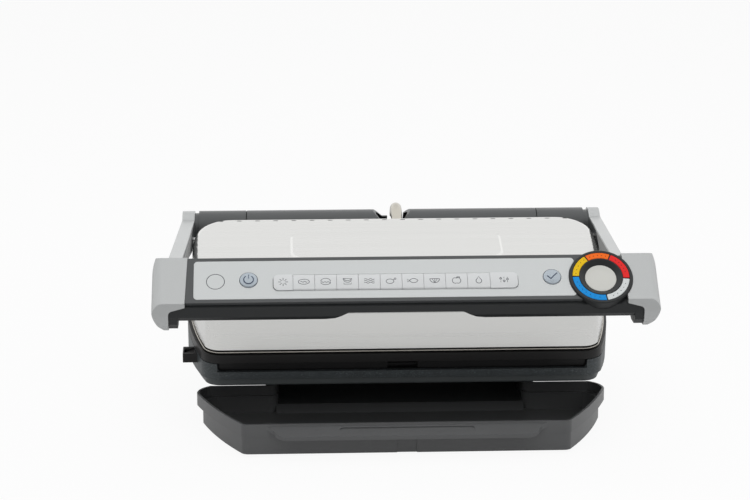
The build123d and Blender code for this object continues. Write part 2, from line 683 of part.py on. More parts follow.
def strip_key(index):
    """One key of the strip, with a crowned top; the two end keys have rounded outer corners."""
    key = key_box(index, 0, -FRAME_THICK - STEM, KEY_SHOULDER)
    middle = panel(KEY_TOP - KEY_CROWN_R, 0, (KEY_FRONT + KEY_BACK) / 2)
    crown = middle * (Rot(0, 90, 0) * Cylinder(KEY_CROWN_R, BIG))
    key = key + (key_box(index, 0, 0, KEY_TOP) & crown)
    return solid_of(key & strip_hole(-10, 5, 0))


def control_board():
    """Circuit board under the control panel."""
    return panel() * Pos(*BOARD) * Box(*BOARD_SIZE)


def indicator_bezel():
    """Dark dish that carries the coloured level ring and the window."""
    groove = RING_TOP - LEVEL_THICK
    profile = [(WINDOW_R, -DIAL_DEPTH), (DIAL_R, -DIAL_DEPTH), (DIAL_R, groove), (DIAL_R - 0.8, RING_TOP),
               (RING_OUT, RING_TOP), (RING_OUT, groove), (RING_IN, groove), (RING_IN, RING_TOP),
               (RING_IN - 0.9, RING_TOP), (WINDOW_R, WINDOW_TOP - 0.2)]
    section = Plane.XZ * make_face(Polyline(*profile, close=True))
    return panel(0, DIAL_U, DIAL_V) * revolve(section, Axis.Z)


def level_segment(start, end):
    """One coloured segment of the level ring."""
    middle = (RING_OUT + RING_IN) / 2
    arc = CenterArc((0, 0), middle, start + 0.6, end - start - 1.2)
    width = RING_OUT - RING_IN - SEGMENT_PLAY
    first = arc @ 0
    band = sweep(Plane(origin=first, z_dir=arc % 0) * Rectangle(width, LEVEL_THICK), path=arc)
    return panel(RING_TOP - LEVEL_THICK / 2, DIAL_U, DIAL_V) * band


def indicator_window():
    """Pale light guide at the bottom of the dial."""
    return panel(WINDOW_TOP - WINDOW_THICK, DIAL_U, DIAL_V) * extrude(Circle(WINDOW_R), amount=WINDOW_THICK)


def handle_end():
    """Silver end of the handle on the right: wraps the bar and hooks under it."""
    return solid_of(end_blank() - tenon(END_IN - 10, TENON_HALF))


def handle_screws():
    """Screws that hold the handle ends to the bar."""
    screw = rod_x(SCREW_R, SCREW_HOLE[0] + 1, TENON_HALF - DIAL_CLEARANCE, *HANDLE_SCREW)
    return Compound(both(screw))


def float_pins():
    """Two pivot pins on which the upper housing floats between the arms."""
    pin = rod_x(PIVOT_R, PIVOT_EAR_X[0] - 1, PIVOT_END, PIVOT_Y, PIVOT_Z)
    return Compound(both(pin))


def pivot_brackets():
    """Steel ears inside the upper housing that ride on the float pins."""
    ear = span(PIVOT_EAR_X, (PIVOT_Y - PIVOT_EAR_R, PIVOT_Y + PIVOT_EAR_R), (DECK_HEIGHT, PIVOT_Z))
    ear = ear - slab(-30, -30, CARRIER_N + FLOOR_THICK)
    ear = ear + rod_x(PIVOT_EAR_R, PIVOT_EAR_X[0], PIVOT_EAR_X[1], PIVOT_Y, PIVOT_Z)
    eye = rod_x(PIVOT_R + PIN_CLEARANCE, PIVOT_EAR_X[0] - 1, PIVOT_EAR_X[1] + 1, PIVOT_Y, PIVOT_Z)
    return Compound(both(ear - eye))


def cover_top(lift=0.0):
    """Plane of the cover's sloping top, lifted by lift."""
    tilt = radians(COVER_SLOPE)
    return Plane(origin=(0, DECK_FRONT - 4, COVER_FRONT_TOP + lift), x_dir=(1, 0, 0),
                 z_dir=(0, -sin(tilt), cos(tilt)))


def top_plane(drop):
    """Everything above the cover's sloping top, lowered by drop."""
    return cover_top(-drop) * Pos(0, 0, 100) * Box(BIG, BIG * 2, 200)


def cover_vents():
    """Row of slots along the cover's back edge."""
    slots = []
    for index in range(VENT_COUNT):
        x = (index - (VENT_COUNT - 1) / 2) * VENT_PITCH
        across = (x - VENT_SIZE[0] / 2, x + VENT_SIZE[0] / 2)
        slots.append(span(across, (VENT_Y, VENT_Y + VENT_SPAN), (VENT_FLOOR, VENT_FLOOR + VENT_SIZE[1])))
    return slots


def cover_pad(drop):
    """Raised pad pressed into the cover's top, lowered by drop."""
    foot = RectangleRounded(PAD_SIZE[0], PAD_SIZE[1], PAD_CORNER)
    pad = extrude(foot, amount=PAD_SINK + PAD_RISE, taper=PAD_TAPER)
    return cover_top(-PAD_SINK - drop) * Pos(0, PAD_CENTRE) * pad


def cover_blank(inset, drop, radius):
    """Solid inside the stainless cover, drawn in by inset and lowered by drop."""
    foot = deck(COVER_BOTTOM) * outline(COVER_INSET + inset)
    block = extrude(foot, amount=100, taper=COVER_DRAFT)
    block = solid_of(block - top_plane(drop))
    top = block.faces().sort_by(Axis.Z)[-1]
    return fillet(top.edges(), radius)


def upper_cover():
    """Stainless cover of the upper housing, with a raised pad and a row of vents at the back."""
    outer = cover_blank(0, 0, COVER_FILLET)
    inner = cover_blank(COVER_SKIN, COVER_SKIN, COVER_FILLET - COVER_SKIN)
    shell = (outer - inner) + cover_pad(0) - cover_pad(COVER_SKIN) - cover_vents()
    for side in (-1, 1):
        x = sorted((side * 172, side * 200))
        shell = shell - rod_x(PIVOT_R + 3.0, x[0], x[1], PIVOT_Y, PIVOT_Z)
    start = Plane(origin=conduit_points()[0], z_dir=conduit_direction())
    return solid_of(shell - start * Cylinder(CONDUIT_R + CONDUIT_PLAY, 2 * CONDUIT_LEAD))


def upper_skirt():
    """Black skirt of the upper housing, with the carrier plate over the heating element."""
    skirt = slab(0, 0.6, SKIRT_TOP) - slab(WALL, 0, SKIRT_TOP - 0.3)
    outer, middle, inner = UPSTAND
    low = SKIRT_TOP - 0.3
    upstand = slab(outer, low, COVER_BOTTOM) - slab(middle, 0, COVER_BOTTOM + 1)
    roof = slab(middle, COVER_BOTTOM - 1, CARRIER_N + 2) - slab(inner, 0, CARRIER_N)
    flange = slab(middle - 0.2, SKIRT_TOP, SKIRT_TOP + 1.6) - slab(LEDGE_INSET, 0, COVER_BOTTOM)
    neck = slab(WALL - 0.1, low, SKIRT_TOP) - slab(LEDGE_INSET, 0, COVER_BOTTOM)
    wall = slab(middle, SKIRT_TOP, CARRIER_N) - slab(inner, 0, CARRIER_N + 1)
    skirt = skirt + neck + upstand + flange + roof + wall
    return solid_of(skirt - release_hole(UPPER_RELEASE, UPPER_RELEASE_X[0] - RELEASE_STEM))


def upper_trim():
    """Bright bead between the skirt and the cover."""
    outer, inner, low, high = TRIM
    return slab(outer, low, high) - slab(inner, low - 1, high + 1)


def plate_block(inset, low, high):
    """Block with the outline of a cooking plate between two heights over the deck."""
    front_part = Pos(0, PLATE_BACK - inset - BIG / 2) * Rectangle(BIG, BIG)
    return extrude(deck(low) * (outline(PLATE_INSET + inset) & front_part), amount=high - low)


def grill_plate(face_n, direction, latch):
    """Die-cast cooking plate, ribs towards the deck; direction is -1 below the deck and 1 above."""
    back = sorted((face_n, face_n + direction * PLATE_THICK))
    tall = sorted((face_n - direction * RIB_HEIGHT, face_n + direction))
    plate = plate_block(0, back[0], back[1])
    plate = plate + (plate_block(0, tall[0], tall[1]) - plate_block(PLATE_RIM, tall[0] - 1, tall[1] + 1))
    pitch = 2 * RIB_SPAN / (RIB_COUNT - 1)
    ribs = [deck_box((-RIB_SPAN + pitch * index, -RIB_SPAN + pitch * index + RIB_WIDTH),
                     (RIB_ENDS[0], PLATE_BACK - RIB_ENDS[1]), tall) for index in range(RIB_COUNT)]
    plate = plate + ribs
    return plate - deck_box((-BIG, -latch[0]), (latch[1] - 2, latch[2] + 2), (-30, 30))


def lower_plate():
    """Lower plate with a front gutter and a drain cut through its rim."""
    latch = (LOWER_RELEASE_X[0] - 3.5, LOWER_RELEASE[0], LOWER_RELEASE[1])
    plate = grill_plate(-PLATE_GAP - RIB_HEIGHT, -1, latch)
    drain = deck_box((-DRAIN_HALF, DRAIN_HALF), (0, PLATE_INSET + 5), (-PLATE_GAP - 2 * RIB_HEIGHT, 5))
    return solid_of(plate - drain)


def upper_plate():
    """Upper plate."""
    latch = (UPPER_RELEASE_X[0] - 3.5, UPPER_RELEASE[0], UPPER_RELEASE[1])
    return solid_of(grill_plate(PLATE_GAP + RIB_HEIGHT, 1, latch))


def heater(n):
    """Tubular heating element bent to a long loop over the plate, at height n over the deck."""
    path = FilletPolyline(*HEATER_LOOP, radius=HEATER_BEND)
    place = deck(n)
    line = place * path
    section = Plane(origin=line @ 0, z_dir=line % 0) * Circle(HEATER_R)
    return sweep(section, path=line)


def reflector(low, high, opening):
    """Thin bright tray round a heating element, open on top (1) or below (-1)."""
    inner = REFLECTOR_INSET + REFLECTOR_SKIN
    if opening > 0:
        return slab(REFLECTOR_INSET, low, high) - slab(inner, low + REFLECTOR_SKIN, high + 1)
    return slab(REFLECTOR_INSET, low, high) - slab(inner, low - 1, high - REFLECTOR_SKIN)


def thermostat(n):
    """Small disc thermostat between a heating element's runs."""
    return deck(n) * Pos(0, THERMOSTAT_PLACE, 0) * Cylinder(*THERMOSTAT_SIZE)


def conduit_points():
    """Start of the lead, then start, top and end of the bend round the hinge axis."""
    points = []
    for angle in (CONDUIT_LEAN, *CONDUIT_TURN):
        turn = radians(angle)
        reach = Vector(0, CONDUIT_BEND * cos(turn), CONDUIT_BEND * sin(turn))
        points.append(Vector(CONDUIT_X, HINGE_Y, HINGE_Z) + reach)
    return [points[0] - conduit_direction() * CONDUIT_LEAD] + points


def conduit_direction():
    """Direction in which the conduit leaves the cover."""
    turn = radians(CONDUIT_LEAN)
    return Vector(0, sin(turn), -cos(turn))


def wiring_conduit():
    """Silver tube that carries the wires from the rear housing over the hinge to the lid."""
    start, bend_start, bend_top, bend_end = conduit_points()
    path = Wire([Line(start, bend_start).edge(), ThreePointArc(bend_start, bend_top, bend_end).edge()])
    tube = sweep(Plane(origin=start, z_dir=conduit_direction()) * Circle(CONDUIT_R), path=path)
    bore = sweep(Plane(origin=start, z_dir=conduit_direction()) * Circle(CONDUIT_R - CONDUIT_WALL), path=path)
    return tube - bore


def release_button(limits, reach):
    """Ribbed push button in the left side of a casing that frees a cooking plate."""
    along = (limits[0], limits[1])
    pitch, first, width, depth = RELEASE_GRIP
    middle = (along[0] + pitch, along[1] - pitch)
    cap = deck_box((-reach[1], -reach[0]), along, (limits[2], limits[3]))
    cap = cap - deck_box((-reach[1] + 1.5, -reach[0] - 6), middle, (limits[3] - depth, limits[3] + 1))
    for step in range(int((limits[3] - limits[2]) // pitch)):
        low = limits[2] + first + pitch * step
        cap = cap - deck_box((-reach[1] - 1, -reach[1] + depth), middle, (low, low + width))
    return cap


def power_board():
    """Supply circuit board in the leg block."""
    return span(*POWER_BOARD)


def base_screws():
    """Screws under the base that hold the pan and the leg cover."""
    radius, length = BASE_SCREW
    screws = []
    for places, level in ((PAN_SCREWS, BASE_FLOOR), (LEG_SCREWS, FOOT_HEIGHT)):
        for x, y in places:
            screws += both(rod_z(radius, level - length, level, x, y))
    return Compound(screws)


def tray_plan(grow, inset=0.0):
    """Plan of the tray: straight front, bowed facets, wings and the tongue. It is grown at the
    front, the sides and the back of the wings by the three values of grow, then drawn in by inset."""
    half_back = TRAY_HALF_BACK + grow[1]
    back = TRAY_BACK + grow[2]
    corner = (TRAY_HALF_FRONT + grow[0], TRAY_FRONT - grow[0])
    shoulder = (half_back, back - SHOULDER[1])
    run = Vector(shoulder[0] - corner[0], shoulder[1] - corner[1])
    across = Vector(run.Y, -run.X).normalized() * FACET_BOW
    middle = Vector(*corner) + run * 0.5 + across
    facet = ThreePointArc(corner, (middle.X, middle.Y), shoulder)
    wing_end = (half_back - SHOULDER[0], back)
    wing = ThreePointArc(shoulder, (half_back - 0.27 * SHOULDER[0], back - 0.37 * SHOULDER[1]), wing_end)
    side = Polyline(wing_end, (TONGUE_HALF, back), (TONGUE_HALF, TONGUE_BACK))
    right = [edge for line in (facet, wing, side) for edge in line.edges()]
    left = [mirror(edge, about=Plane.YZ) for edge in right]
    ends = Line((-corner[0], corner[1]), corner).edges() + Line(
        (-TONGUE_HALF, TONGUE_BACK), (TONGUE_HALF, TONGUE_BACK)).edges()
    face = make_face(right + left + ends)
    face = fillet([point for point in face.vertices() if point.Y < TRAY_FRONT + 1], TRAY_CORNER_R)
    inner = [point for point in face.vertices()
             if abs(point.Y - back) < 1 and abs(abs(point.X) - TONGUE_HALF) < 1]
    face = fillet(inner, TONGUE_CORNER_R)
    if inset:
        face = offset(face, amount=-inset, kind=Kind.ARC)
    return face


def tray_block(grow, inset, low, high):
    """Block with the tray's plan between two heights."""
    return extrude(Pos(0, 0, low) * tray_plan(grow, inset), amount=high - low)


def tray_ledge():
    """Sloping pull ledge along the front, with curved ends and a shallow slot in its top."""
    ledge = side_profile([(TRAY_FRONT + TRAY_WALL, TRAY_RIM), (FRONT, TRAY_RIM - LEDGE_DROP),
                          (FRONT, TRAY_RIM - LEDGE_DROP - LEDGE_THICK),
                          (TRAY_FRONT, TRAY_RIM - LEDGE_THICK - 2)], -LEDGE_HALF_BACK, LEDGE_HALF_BACK)
    half = (LEDGE_HALF_BACK + LEDGE_HALF_FRONT) / 2
    depth = (TRAY_FRONT + FRONT) / 2
    bend = LEDGE_BEND
    first = ThreePointArc((LEDGE_HALF_BACK, TRAY_FRONT), (half + bend, depth + bend * 0.94), (half, depth))
    second = ThreePointArc((half, depth), (half - bend, depth - bend * 0.94), (LEDGE_HALF_FRONT, FRONT))
    right = first.edges() + second.edges()
    left = [mirror(edge, about=Plane.YZ) for edge in right]
    back = Polyline((LEDGE_HALF_BACK, TRAY_FRONT), (LEDGE_HALF_BACK, TRAY_FRONT + 3),
                    (-LEDGE_HALF_BACK, TRAY_FRONT + 3), (-LEDGE_HALF_BACK, TRAY_FRONT))
    front = Line((-LEDGE_HALF_FRONT, FRONT), (LEDGE_HALF_FRONT, FRONT))
    plan = make_face(right + left + back.edges() + front.edges())
    fall = Vector(0, FRONT - TRAY_FRONT - TRAY_WALL, -LEDGE_DROP)
    top = Plane(origin=Vector(0, TRAY_FRONT + TRAY_WALL, TRAY_RIM) + fall * 0.55, x_dir=(1, 0, 0),
                z_dir=(0, -LEDGE_DROP, TRAY_FRONT + TRAY_WALL - FRONT))
    slot = top.offset(-LEDGE_SLOT_DEPTH) * extrude(SlotOverall(LEDGE_SLOT[0], LEDGE_SLOT[1]), amount=5)
    return (ledge & extrude(plan, amount=100)) - slot


def drip_tray():
    """Pull-out drip tray: wide front wings, a tongue under the base and a sloping pull ledge."""
    none = (0.0, 0.0, 0.0)
    body = tray_block(none, 0, TRAY_BOTTOM, TRAY_RIM) + tray_block(BAND_OUT, 0, BAND_BOTTOM, TRAY_RIM)
    well = tray_block(none, TRAY_WALL, TRAY_BOTTOM + TRAY_WALL, TRAY_RIM + 1)
    body = body - well - tray_block(BAND_OUT, TRAY_WALL, BAND_BOTTOM + TRAY_WALL, TRAY_RIM + 1)
    ramp = side_profile([(TRAY_BACK - 5, TRAY_BOTTOM), (TRAY_BACK - 5, TRAY_BOTTOM + TRAY_WALL),
                         (TRAY_BACK + 3, TONGUE_FLOOR), (TONGUE_BACK, TONGUE_FLOOR),
                         (TONGUE_BACK, TRAY_BOTTOM)], -TONGUE_HALF, TONGUE_HALF)
    ceiling = TONGUE_FLOOR - TRAY_WALL
    under = side_profile([(TRAY_BACK + 5, TRAY_BOTTOM - 1), (TRAY_BACK + 9, ceiling),
                          (TONGUE_BACK - TRAY_WALL, ceiling), (TONGUE_BACK - TRAY_WALL, TRAY_BOTTOM - 1)],
                         -TONGUE_HALF + TRAY_WALL, TONGUE_HALF - TRAY_WALL)
    notch = span((-NOTCH[0], NOTCH[0]), (TRAY_FRONT - 1, TRAY_FRONT + NOTCH[1]), (0, NOTCH[2]))
    return solid_of(body - notch + tray_ledge() + ramp - under)


PARTS = {
    "base_shell": base_shell,
    "base_bottom_cover": base_bottom_cover,
    "leg_cover": leg_cover,
    "base_feet": base_feet,
    "base_screws": base_screws,
    "rear_housing": rear_housing,
    "cord_gland": cord_gland,
    "power_board": power_board,
    "hinge_pins": hinge_pins,
    "hinge_bushes": hinge_bushes,
    "lower_plate": lower_plate,
    "lower_heater": lambda: heater(LOWER_HEATER),
    "lower_thermostat": lambda: thermostat(LOWER_THERMOSTAT),
    "upper_thermostat": lambda: thermostat(UPPER_HEATER),
    "lower_reflector": lambda: reflector(*LOWER_REFLECTOR, 1),
    "arm_liner_right": lambda: arm_liner(RIGHT_SKIN),
    "arm_liner_left": lambda: mirror(arm_liner(LEFT_LINER), about=Plane.YZ),
    "arm_cover_right": lambda: arm_cover(RIGHT_SKIN),
    "arm_cover_left": lambda: mirror(arm_cover(LEFT_SKIN), about=Plane.YZ),
    "handle_end_left": lambda: mirror(handle_end(), about=Plane.YZ),
    "handle_end_right": lambda: solid_of(handle_end() - dial_clearance(-DIAL_CUT, DIAL_CUT)),
    "handle_grip": handle_grip,
    "handle_frame": handle_frame,
    "control_panel": control_panel,
    "control_board": control_board,
    "indicator_bezel": indicator_bezel,
    "indicator_window": indicator_window,
    "handle_screws": handle_screws,
    "float_pins": float_pins,
    "upper_cover": upper_cover,
    "upper_skirt": upper_skirt,
    "upper_trim": upper_trim,
    "upper_plate": upper_plate,
    "upper_heater": lambda: heater(UPPER_HEATER),
    "upper_reflector": lambda: reflector(*UPPER_REFLECTOR, -1),
    "pivot_brackets": pivot_brackets,
    "wiring_conduit": wiring_conduit,
    "power_button": lambda: round_button(POWER_U),
    "confirm_button": lambda: round_button(OK_U),
    "lower_release_button": lambda: release_button(LOWER_RELEASE, LOWER_RELEASE_X),
    "upper_release_button": lambda: release_button(UPPER_RELEASE, UPPER_RELEASE_X),
    "drip_tray": drip_tray,
}


def main():
    os.makedirs("parts", exist_ok=True)
    for name, make in PARTS.items():
        export_step(make(), "parts/" + name + ".step")
    for colour, start, end in LEVELS:
        export_step(level_segment(start, end), "parts/level_" + colour + ".step")
    for index in range(len(KEY_EDGES) - 1):
        export_step(strip_key(index), "parts/key_%d.step" % (index + 1))


main()
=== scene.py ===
import json
from math import cos, radians, sin

import bmesh
import bpy
from bpy.props import FloatProperty, FloatVectorProperty, IntProperty, PointerProperty
from mathutils import Matrix, Vector


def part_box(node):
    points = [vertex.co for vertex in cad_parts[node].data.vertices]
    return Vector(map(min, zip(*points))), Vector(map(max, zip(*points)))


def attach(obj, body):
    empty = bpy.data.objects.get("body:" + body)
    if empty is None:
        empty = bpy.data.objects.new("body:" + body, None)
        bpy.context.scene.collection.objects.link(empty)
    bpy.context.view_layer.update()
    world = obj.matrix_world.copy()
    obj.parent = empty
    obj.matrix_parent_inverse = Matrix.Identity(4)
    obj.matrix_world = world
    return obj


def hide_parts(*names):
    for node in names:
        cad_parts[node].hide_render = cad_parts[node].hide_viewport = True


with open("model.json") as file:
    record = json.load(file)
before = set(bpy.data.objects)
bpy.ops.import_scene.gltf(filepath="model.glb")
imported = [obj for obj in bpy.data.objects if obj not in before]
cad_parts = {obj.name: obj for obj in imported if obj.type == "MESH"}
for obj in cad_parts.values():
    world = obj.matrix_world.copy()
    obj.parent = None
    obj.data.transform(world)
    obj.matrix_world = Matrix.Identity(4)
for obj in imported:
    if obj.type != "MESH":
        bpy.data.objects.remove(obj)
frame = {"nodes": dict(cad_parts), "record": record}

bl_info = {
    "name": "Contact grill",
    "version": (1, 0, 0),
    "blender": (4, 5, 0),
    "location": "View3D > Sidebar > Grill",
    "description": "Finishes of a countertop contact grill with a hinged lid and a drip tray",
    "category": "Object",
}

MM = 0.001
RECORD = frame["record"]
BODY_OF = {node: body for body, nodes in RECORD["behaviour"]["bodies"].items() for node in nodes}
SLOT_OF = {part["node"]: part["material_slot"] for part in RECORD["subparts"]}
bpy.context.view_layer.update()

# Camera that matches the photograph's frame of 750 by 500
CAMERA_PLACE = (-0.1101, -2.0370, 0.6610)
CAMERA_PITCH = 14.0
CAMERA_YAW = 2.47
CAMERA_LENS = 105.6
SENSOR_WIDTH = 36.0

# Control panel plane, in millimetres and degrees
PANEL_TILT = 41.0
PANEL_FRONT = -153.0
PANEL_HEIGHT = 144.0
PANEL_TOP = 0.3
KEY_COUNT = 11
KEY_TOP = 1.8
KEY_CROWN_R = 60.0
KEY_EDGE_LOW = 0.5
KEY_EDGE_ANGLE = 20.0
KEY_EDGE_RISE = 0.9
WEB_TOP = 1.1
WEB_FOOT = -0.5
WEB_FILL = 0.5
WEB_SHORT = 2.0
BUTTON_TOP = 2.2
BUTTON_DOME_R = 24.0
DIAL_PLACE = (175.0, 22.6)
DIAL_RING_R = 22.7
DIAL_RING_TOP = 2.2
RING_PLACE = (-170.5, 22.5)
RING_R = 8.0
SYMBOL_SCALE = 1.5
SYMBOL_FLATNESS = 0.25
BUTTON_LINE = 1.8
RING_LINE = 1.2

# Coloured levels round the dial: where the dots stand on each, in degrees, and how many
LEVEL_DOTS = {"yellow": (128, 172, 5), "orange": (75, 112, 5), "red": (12, 50, 5),
              "white": (-66, -21, 5), "blue": (-165, -98, 7)}
DOT_STEPS = 10
DOT_THICK = 0.1

# Sloping top of the steel cover and the vents at its back, in millimetres and degrees
COVER_EDGE = (-88.0, 118.0)
COVER_SLOPE = 13.9
VENT_COUNT = 20
VENT_PITCH = 18.0
# Black slabs in the vents, which are painted shade of their openings: their size, the rounding of their
# edges, their inset from the cover's edge and their drop below its top
VENT_SHADE_SIZE = (4.5, 0.8, 0.3)
VENT_EDGE = 0.14
VENT_INSET = 1.2
VENT_DROP = 0.28

# Cross-head screws under the base, in millimetres. The cross's reach and width are shares of the radius
SCREW_STEPS = 20
SCREW_THICK = 1.4
SCREW_EDGE = 0.35
CROSS_REACH = 1.3
CROSS_WIDTH = 0.28
CROSS_THICK = 1.0
CROSS_DROP = 0.8

# Faces of the cooking plates that are flat when they are larger than this, in square metres
PLATE_FLAT = 0.00015

# Washers beside the arms' knuckles: their radius and the share of the gap that they fill
WASHER_R = 19.2
WASHER_FILL = 0.6

# Points closer than the gap are one, in millimetres, and faces flatter than the angle, in degrees
JOIN_GAP = 0.002
JOIN_ANGLE = 0.5

# Edges sharper than the first angle are rounded and sharper than the second are creases, in degrees.
# The weight, out of 100, is how strongly large faces set the shading of the edges beside them
EDGE_ANGLE = 28.0
CREASE_ANGLE = 50.0
FACE_WEIGHT = 100

# Steps of a full circle on rings and washers, and how much rounder the dial's levels are than small parts
ROUND_STEPS = 48
LEVEL_EDGE = 1.6

# Soft lamps: where each stands and how wide it is, in metres
LAMPS = {
    "key": ((-0.9, -1.5, 2.2), 2.0),
    "fill": ((1.6, -1.3, 1.6), 1.8),
    "top": ((0.05, 0.35, 2.2), 2.0),
}
LAMP_AIM = (0.0, 0.0, 0.1)

# Floor: half its size in metres, its grey, and how white each kind of ray sees it
FLOOR_REACH = 30.0
FLOOR_GREY = (0.80, 0.80, 0.80)
FLOOR_SEEN = {"Is Camera Ray": 0.93, "Is Glossy Ray": 0.38, "Is Transmission Ray": 0.86}

# Mirrored surroundings, a sky less a soft screen high at the back. For each: how much the way back
# and the way up count, the range of their sum over which the level changes, and the level at its ends
MIRROR_SKY = ((0.7, 0.9), (-0.1, 0.6), (0.38, 1.2))
MIRROR_SCREEN = ((0.74, 0.67), (0.86, 0.99), (0.0, 0.16))


def srgb(red, green, blue):
    """Linear colour of three values between 11 and 255, as a screen shows them."""
    return tuple(((part / 255 + 0.055) / 1.055) ** 2.4 for part in (red, green, blue))


def colour_setting(name, description, colour):
    return FloatVectorProperty(name=name, description=description, subtype="COLOR", size=3,
                               min=0.0, max=1.0, default=colour)


def length_setting(name, description, millimetres):
    return FloatProperty(name=name, description=description, unit="LENGTH", subtype="DISTANCE",
                         min=0.0, precision=5, default=millimetres * MM)


class GRILL_PG_colours(bpy.types.PropertyGroup):
    """Colours of the finishes."""
    # The casing and hinge colours are one grey plastic. The casing's darker grey is painted shade of the
    # handle bar's front, and the hinge's lighter grey is painted light on the tops of the frame, the rear
    # housing and the arms' liners
    casing_plastic: colour_setting("Casing", "Grey plastic of the handle bar, frame and base",
                                   srgb(33, 35, 36))
    hinge_plastic: colour_setting("Hinge", "Plastic of the rear housing, the arms' liners and the frame",
                                  srgb(74, 76, 77))
    base_plastic: colour_setting("Base", "Flecked plastic of the lower casing", srgb(62, 67, 69))
    pan_plastic: colour_setting("Pan", "Plastic of the base's lower pan", srgb(74, 79, 80))
    tray_plastic: colour_setting("Tray", "Plastic of the drip tray", srgb(84, 85, 86))
    skirt_plastic: colour_setting("Skirt", "Black plastic of the upper housing's skirt", srgb(24, 23, 23))
    rubber_black: colour_setting("Feet", "Rubber of the feet and the cord gland", srgb(26, 26, 26))
    silver_paint: colour_setting("Silver lacquer", "Lacquer of the arms and handle ends",
                                 srgb(184, 186, 186))
    fascia_silver: colour_setting("Fascia", "Silver of the control panel", srgb(208, 211, 211))
    key_silver: colour_setting("Keys", "Pale silver of the keys", srgb(216, 218, 219))
    button_blue_silver: colour_setting("Round buttons", "Bluish silver of the round buttons",
                                       srgb(168, 177, 185))
    stainless: colour_setting("Steel cover", "Brushed stainless sheet", srgb(219, 219, 217))
    bright_trim: colour_setting("Trim", "Bright bead under the cover", srgb(176, 172, 165))
    conduit_metal: colour_setting("Conduit", "Warm silver of the wiring conduit", srgb(190, 186, 176))
    ink: colour_setting("Symbols", "Printed symbols on the keys", srgb(76, 80, 86))
    button_ink: colour_setting("Button symbols", "Printed symbols on the round buttons", srgb(42, 58, 84))
    nonstick: colour_setting("Plates", "Coating of the cooking plates", srgb(15, 15, 16))
    window_pale: colour_setting("Window", "Light guide in the middle of the dial", srgb(214, 214, 208))
    level_yellow: colour_setting("Yellow level", "First level of the dial", srgb(240, 196, 12))
    level_orange: colour_setting("Orange level", "Second level of the dial", srgb(255, 112, 22))
    level_red: colour_setting("Red level", "Third level of the dial", srgb(236, 38, 38))
    level_white: colour_setting("White level", "Fourth level of the dial", srgb(222, 226, 226))
    level_blue: colour_setting("Blue level", "Last level of the dial", srgb(12, 145, 225))


class GRILL_PG_edges(bpy.types.PropertyGroup):
    """Radii of the moulded and pressed edges."""
    casing: length_setting("Casings", "Edges of the moulded casings", 0.8)
    cover: length_setting("Cover", "Edges of the steel cover's pad and vents", 0.9)
    handle_end: length_setting("Handle ends", "Edges of the silver handle ends", 1.6)
    arm: length_setting("Arms", "Edges of the arms' skins", 1.6)
    panel: length_setting("Panel", "Edges of the control panel and its frame", 0.4)
    key: length_setting("Keys", "Front and back edges of the keys", 1.2)
    key_side: length_setting("Key sides", "Side edges of the keys", 0.18)
    button: length_setting("Round buttons", "Edges of the round buttons", 1.3)
    tray: length_setting("Tray", "Edges of the drip tray", 0.7)
    small: length_setting("Small parts", "Edges of trims, buttons and fittings", 0.35)
    rib: length_setting("Ribs", "Edges of the ribs on the cooking plates", 0.9)


class GRILL_PG_light(bpy.types.PropertyGroup):
    """Strength of the studio light."""
    world: FloatProperty(name="World", description="Strength of the even light all round",
                         min=0.0, default=0.40)
    key: FloatProperty(name="Key", description="Power of the lamp in front", subtype="POWER",
                       unit="POWER", min=0.0, default=10.0)
    fill: FloatProperty(name="Fill", description="Power of the lamp at the right", subtype="POWER",
                        unit="POWER", min=0.0, default=8.0)
    top: FloatProperty(name="Top", description="Power of the lamp over the back", subtype="POWER",
                       unit="POWER", min=0.0, default=21.0)


class GRILL_PG_details(bpy.types.PropertyGroup):
    """Small details that repeat."""
    vent_count: IntProperty(name="Vents", description="Vents along the back edge of the cover",
                            min=2, default=VENT_COUNT)
    vent_pitch: length_setting("Vent pitch", "Distance from one vent to the next", VENT_PITCH)
    dot: length_setting("Dial dots", "Radius of the dots on the dial", 0.42)
    line: length_setting("Symbol line", "Half the width of a symbol's line", 0.28)
    screw: length_setting("Screw heads", "Radius of the screw heads under the base", 2.0)


class Num:
    """A number in a material that changes over the surface. Sums and products add Math nodes."""

    def __init__(self, finish, socket):
        self.finish = finish
        self.socket = socket

    def maths(self, operation, first, second=0.0, clamp=False):
        made = self.finish.node("ShaderNodeMath", {"operation": operation, "use_clamp": clamp},
                                {0: first, 1: second})
        return made[0]

    def __add__(self, other):
        return self.maths("ADD", self, other)

    __radd__ = __add__

    def __sub__(self, other):
        return self.maths("SUBTRACT", self, other)

    def __rsub__(self, other):
        return self.maths("SUBTRACT", other, self)

    def __mul__(self, other):
        return self.maths("MULTIPLY", self, other)

    __rmul__ = __mul__

    def over(self, level):
        return self.maths("GREATER_THAN", self, level)

    def clamped(self):
        return self.maths("ADD", self, 0.0, clamp=True)


class Finish:
    """A node tree of a material or a world, with a method that adds any node."""

    def __init__(self, owner):
        owner.use_nodes = True
        self.owner = owner
        self.tree = owner.node_tree

    def node(self, kind, settings=None, sockets=None):
        """Adds a node, applies its settings and then its sockets, and returns its outputs as numbers."""
        made = self.tree.nodes.new(kind)
        for key, value in (settings or {}).items():
            setattr(made, key, value)
        for key, value in (sockets or {}).items():
            self.feed(made.inputs[key], value)
        return [Num(self, socket) for socket in made.outputs if socket.enabled]

    def feed(self, socket, value):
        if isinstance(value, Num):
            self.tree.links.new(value.socket, socket)
        else:
            socket.default_value = value

    def rays(self):
        """The kinds of ray that Light Path tells apart, by name."""
        return {num.socket.name: num for num in self.node("ShaderNodeLightPath")}


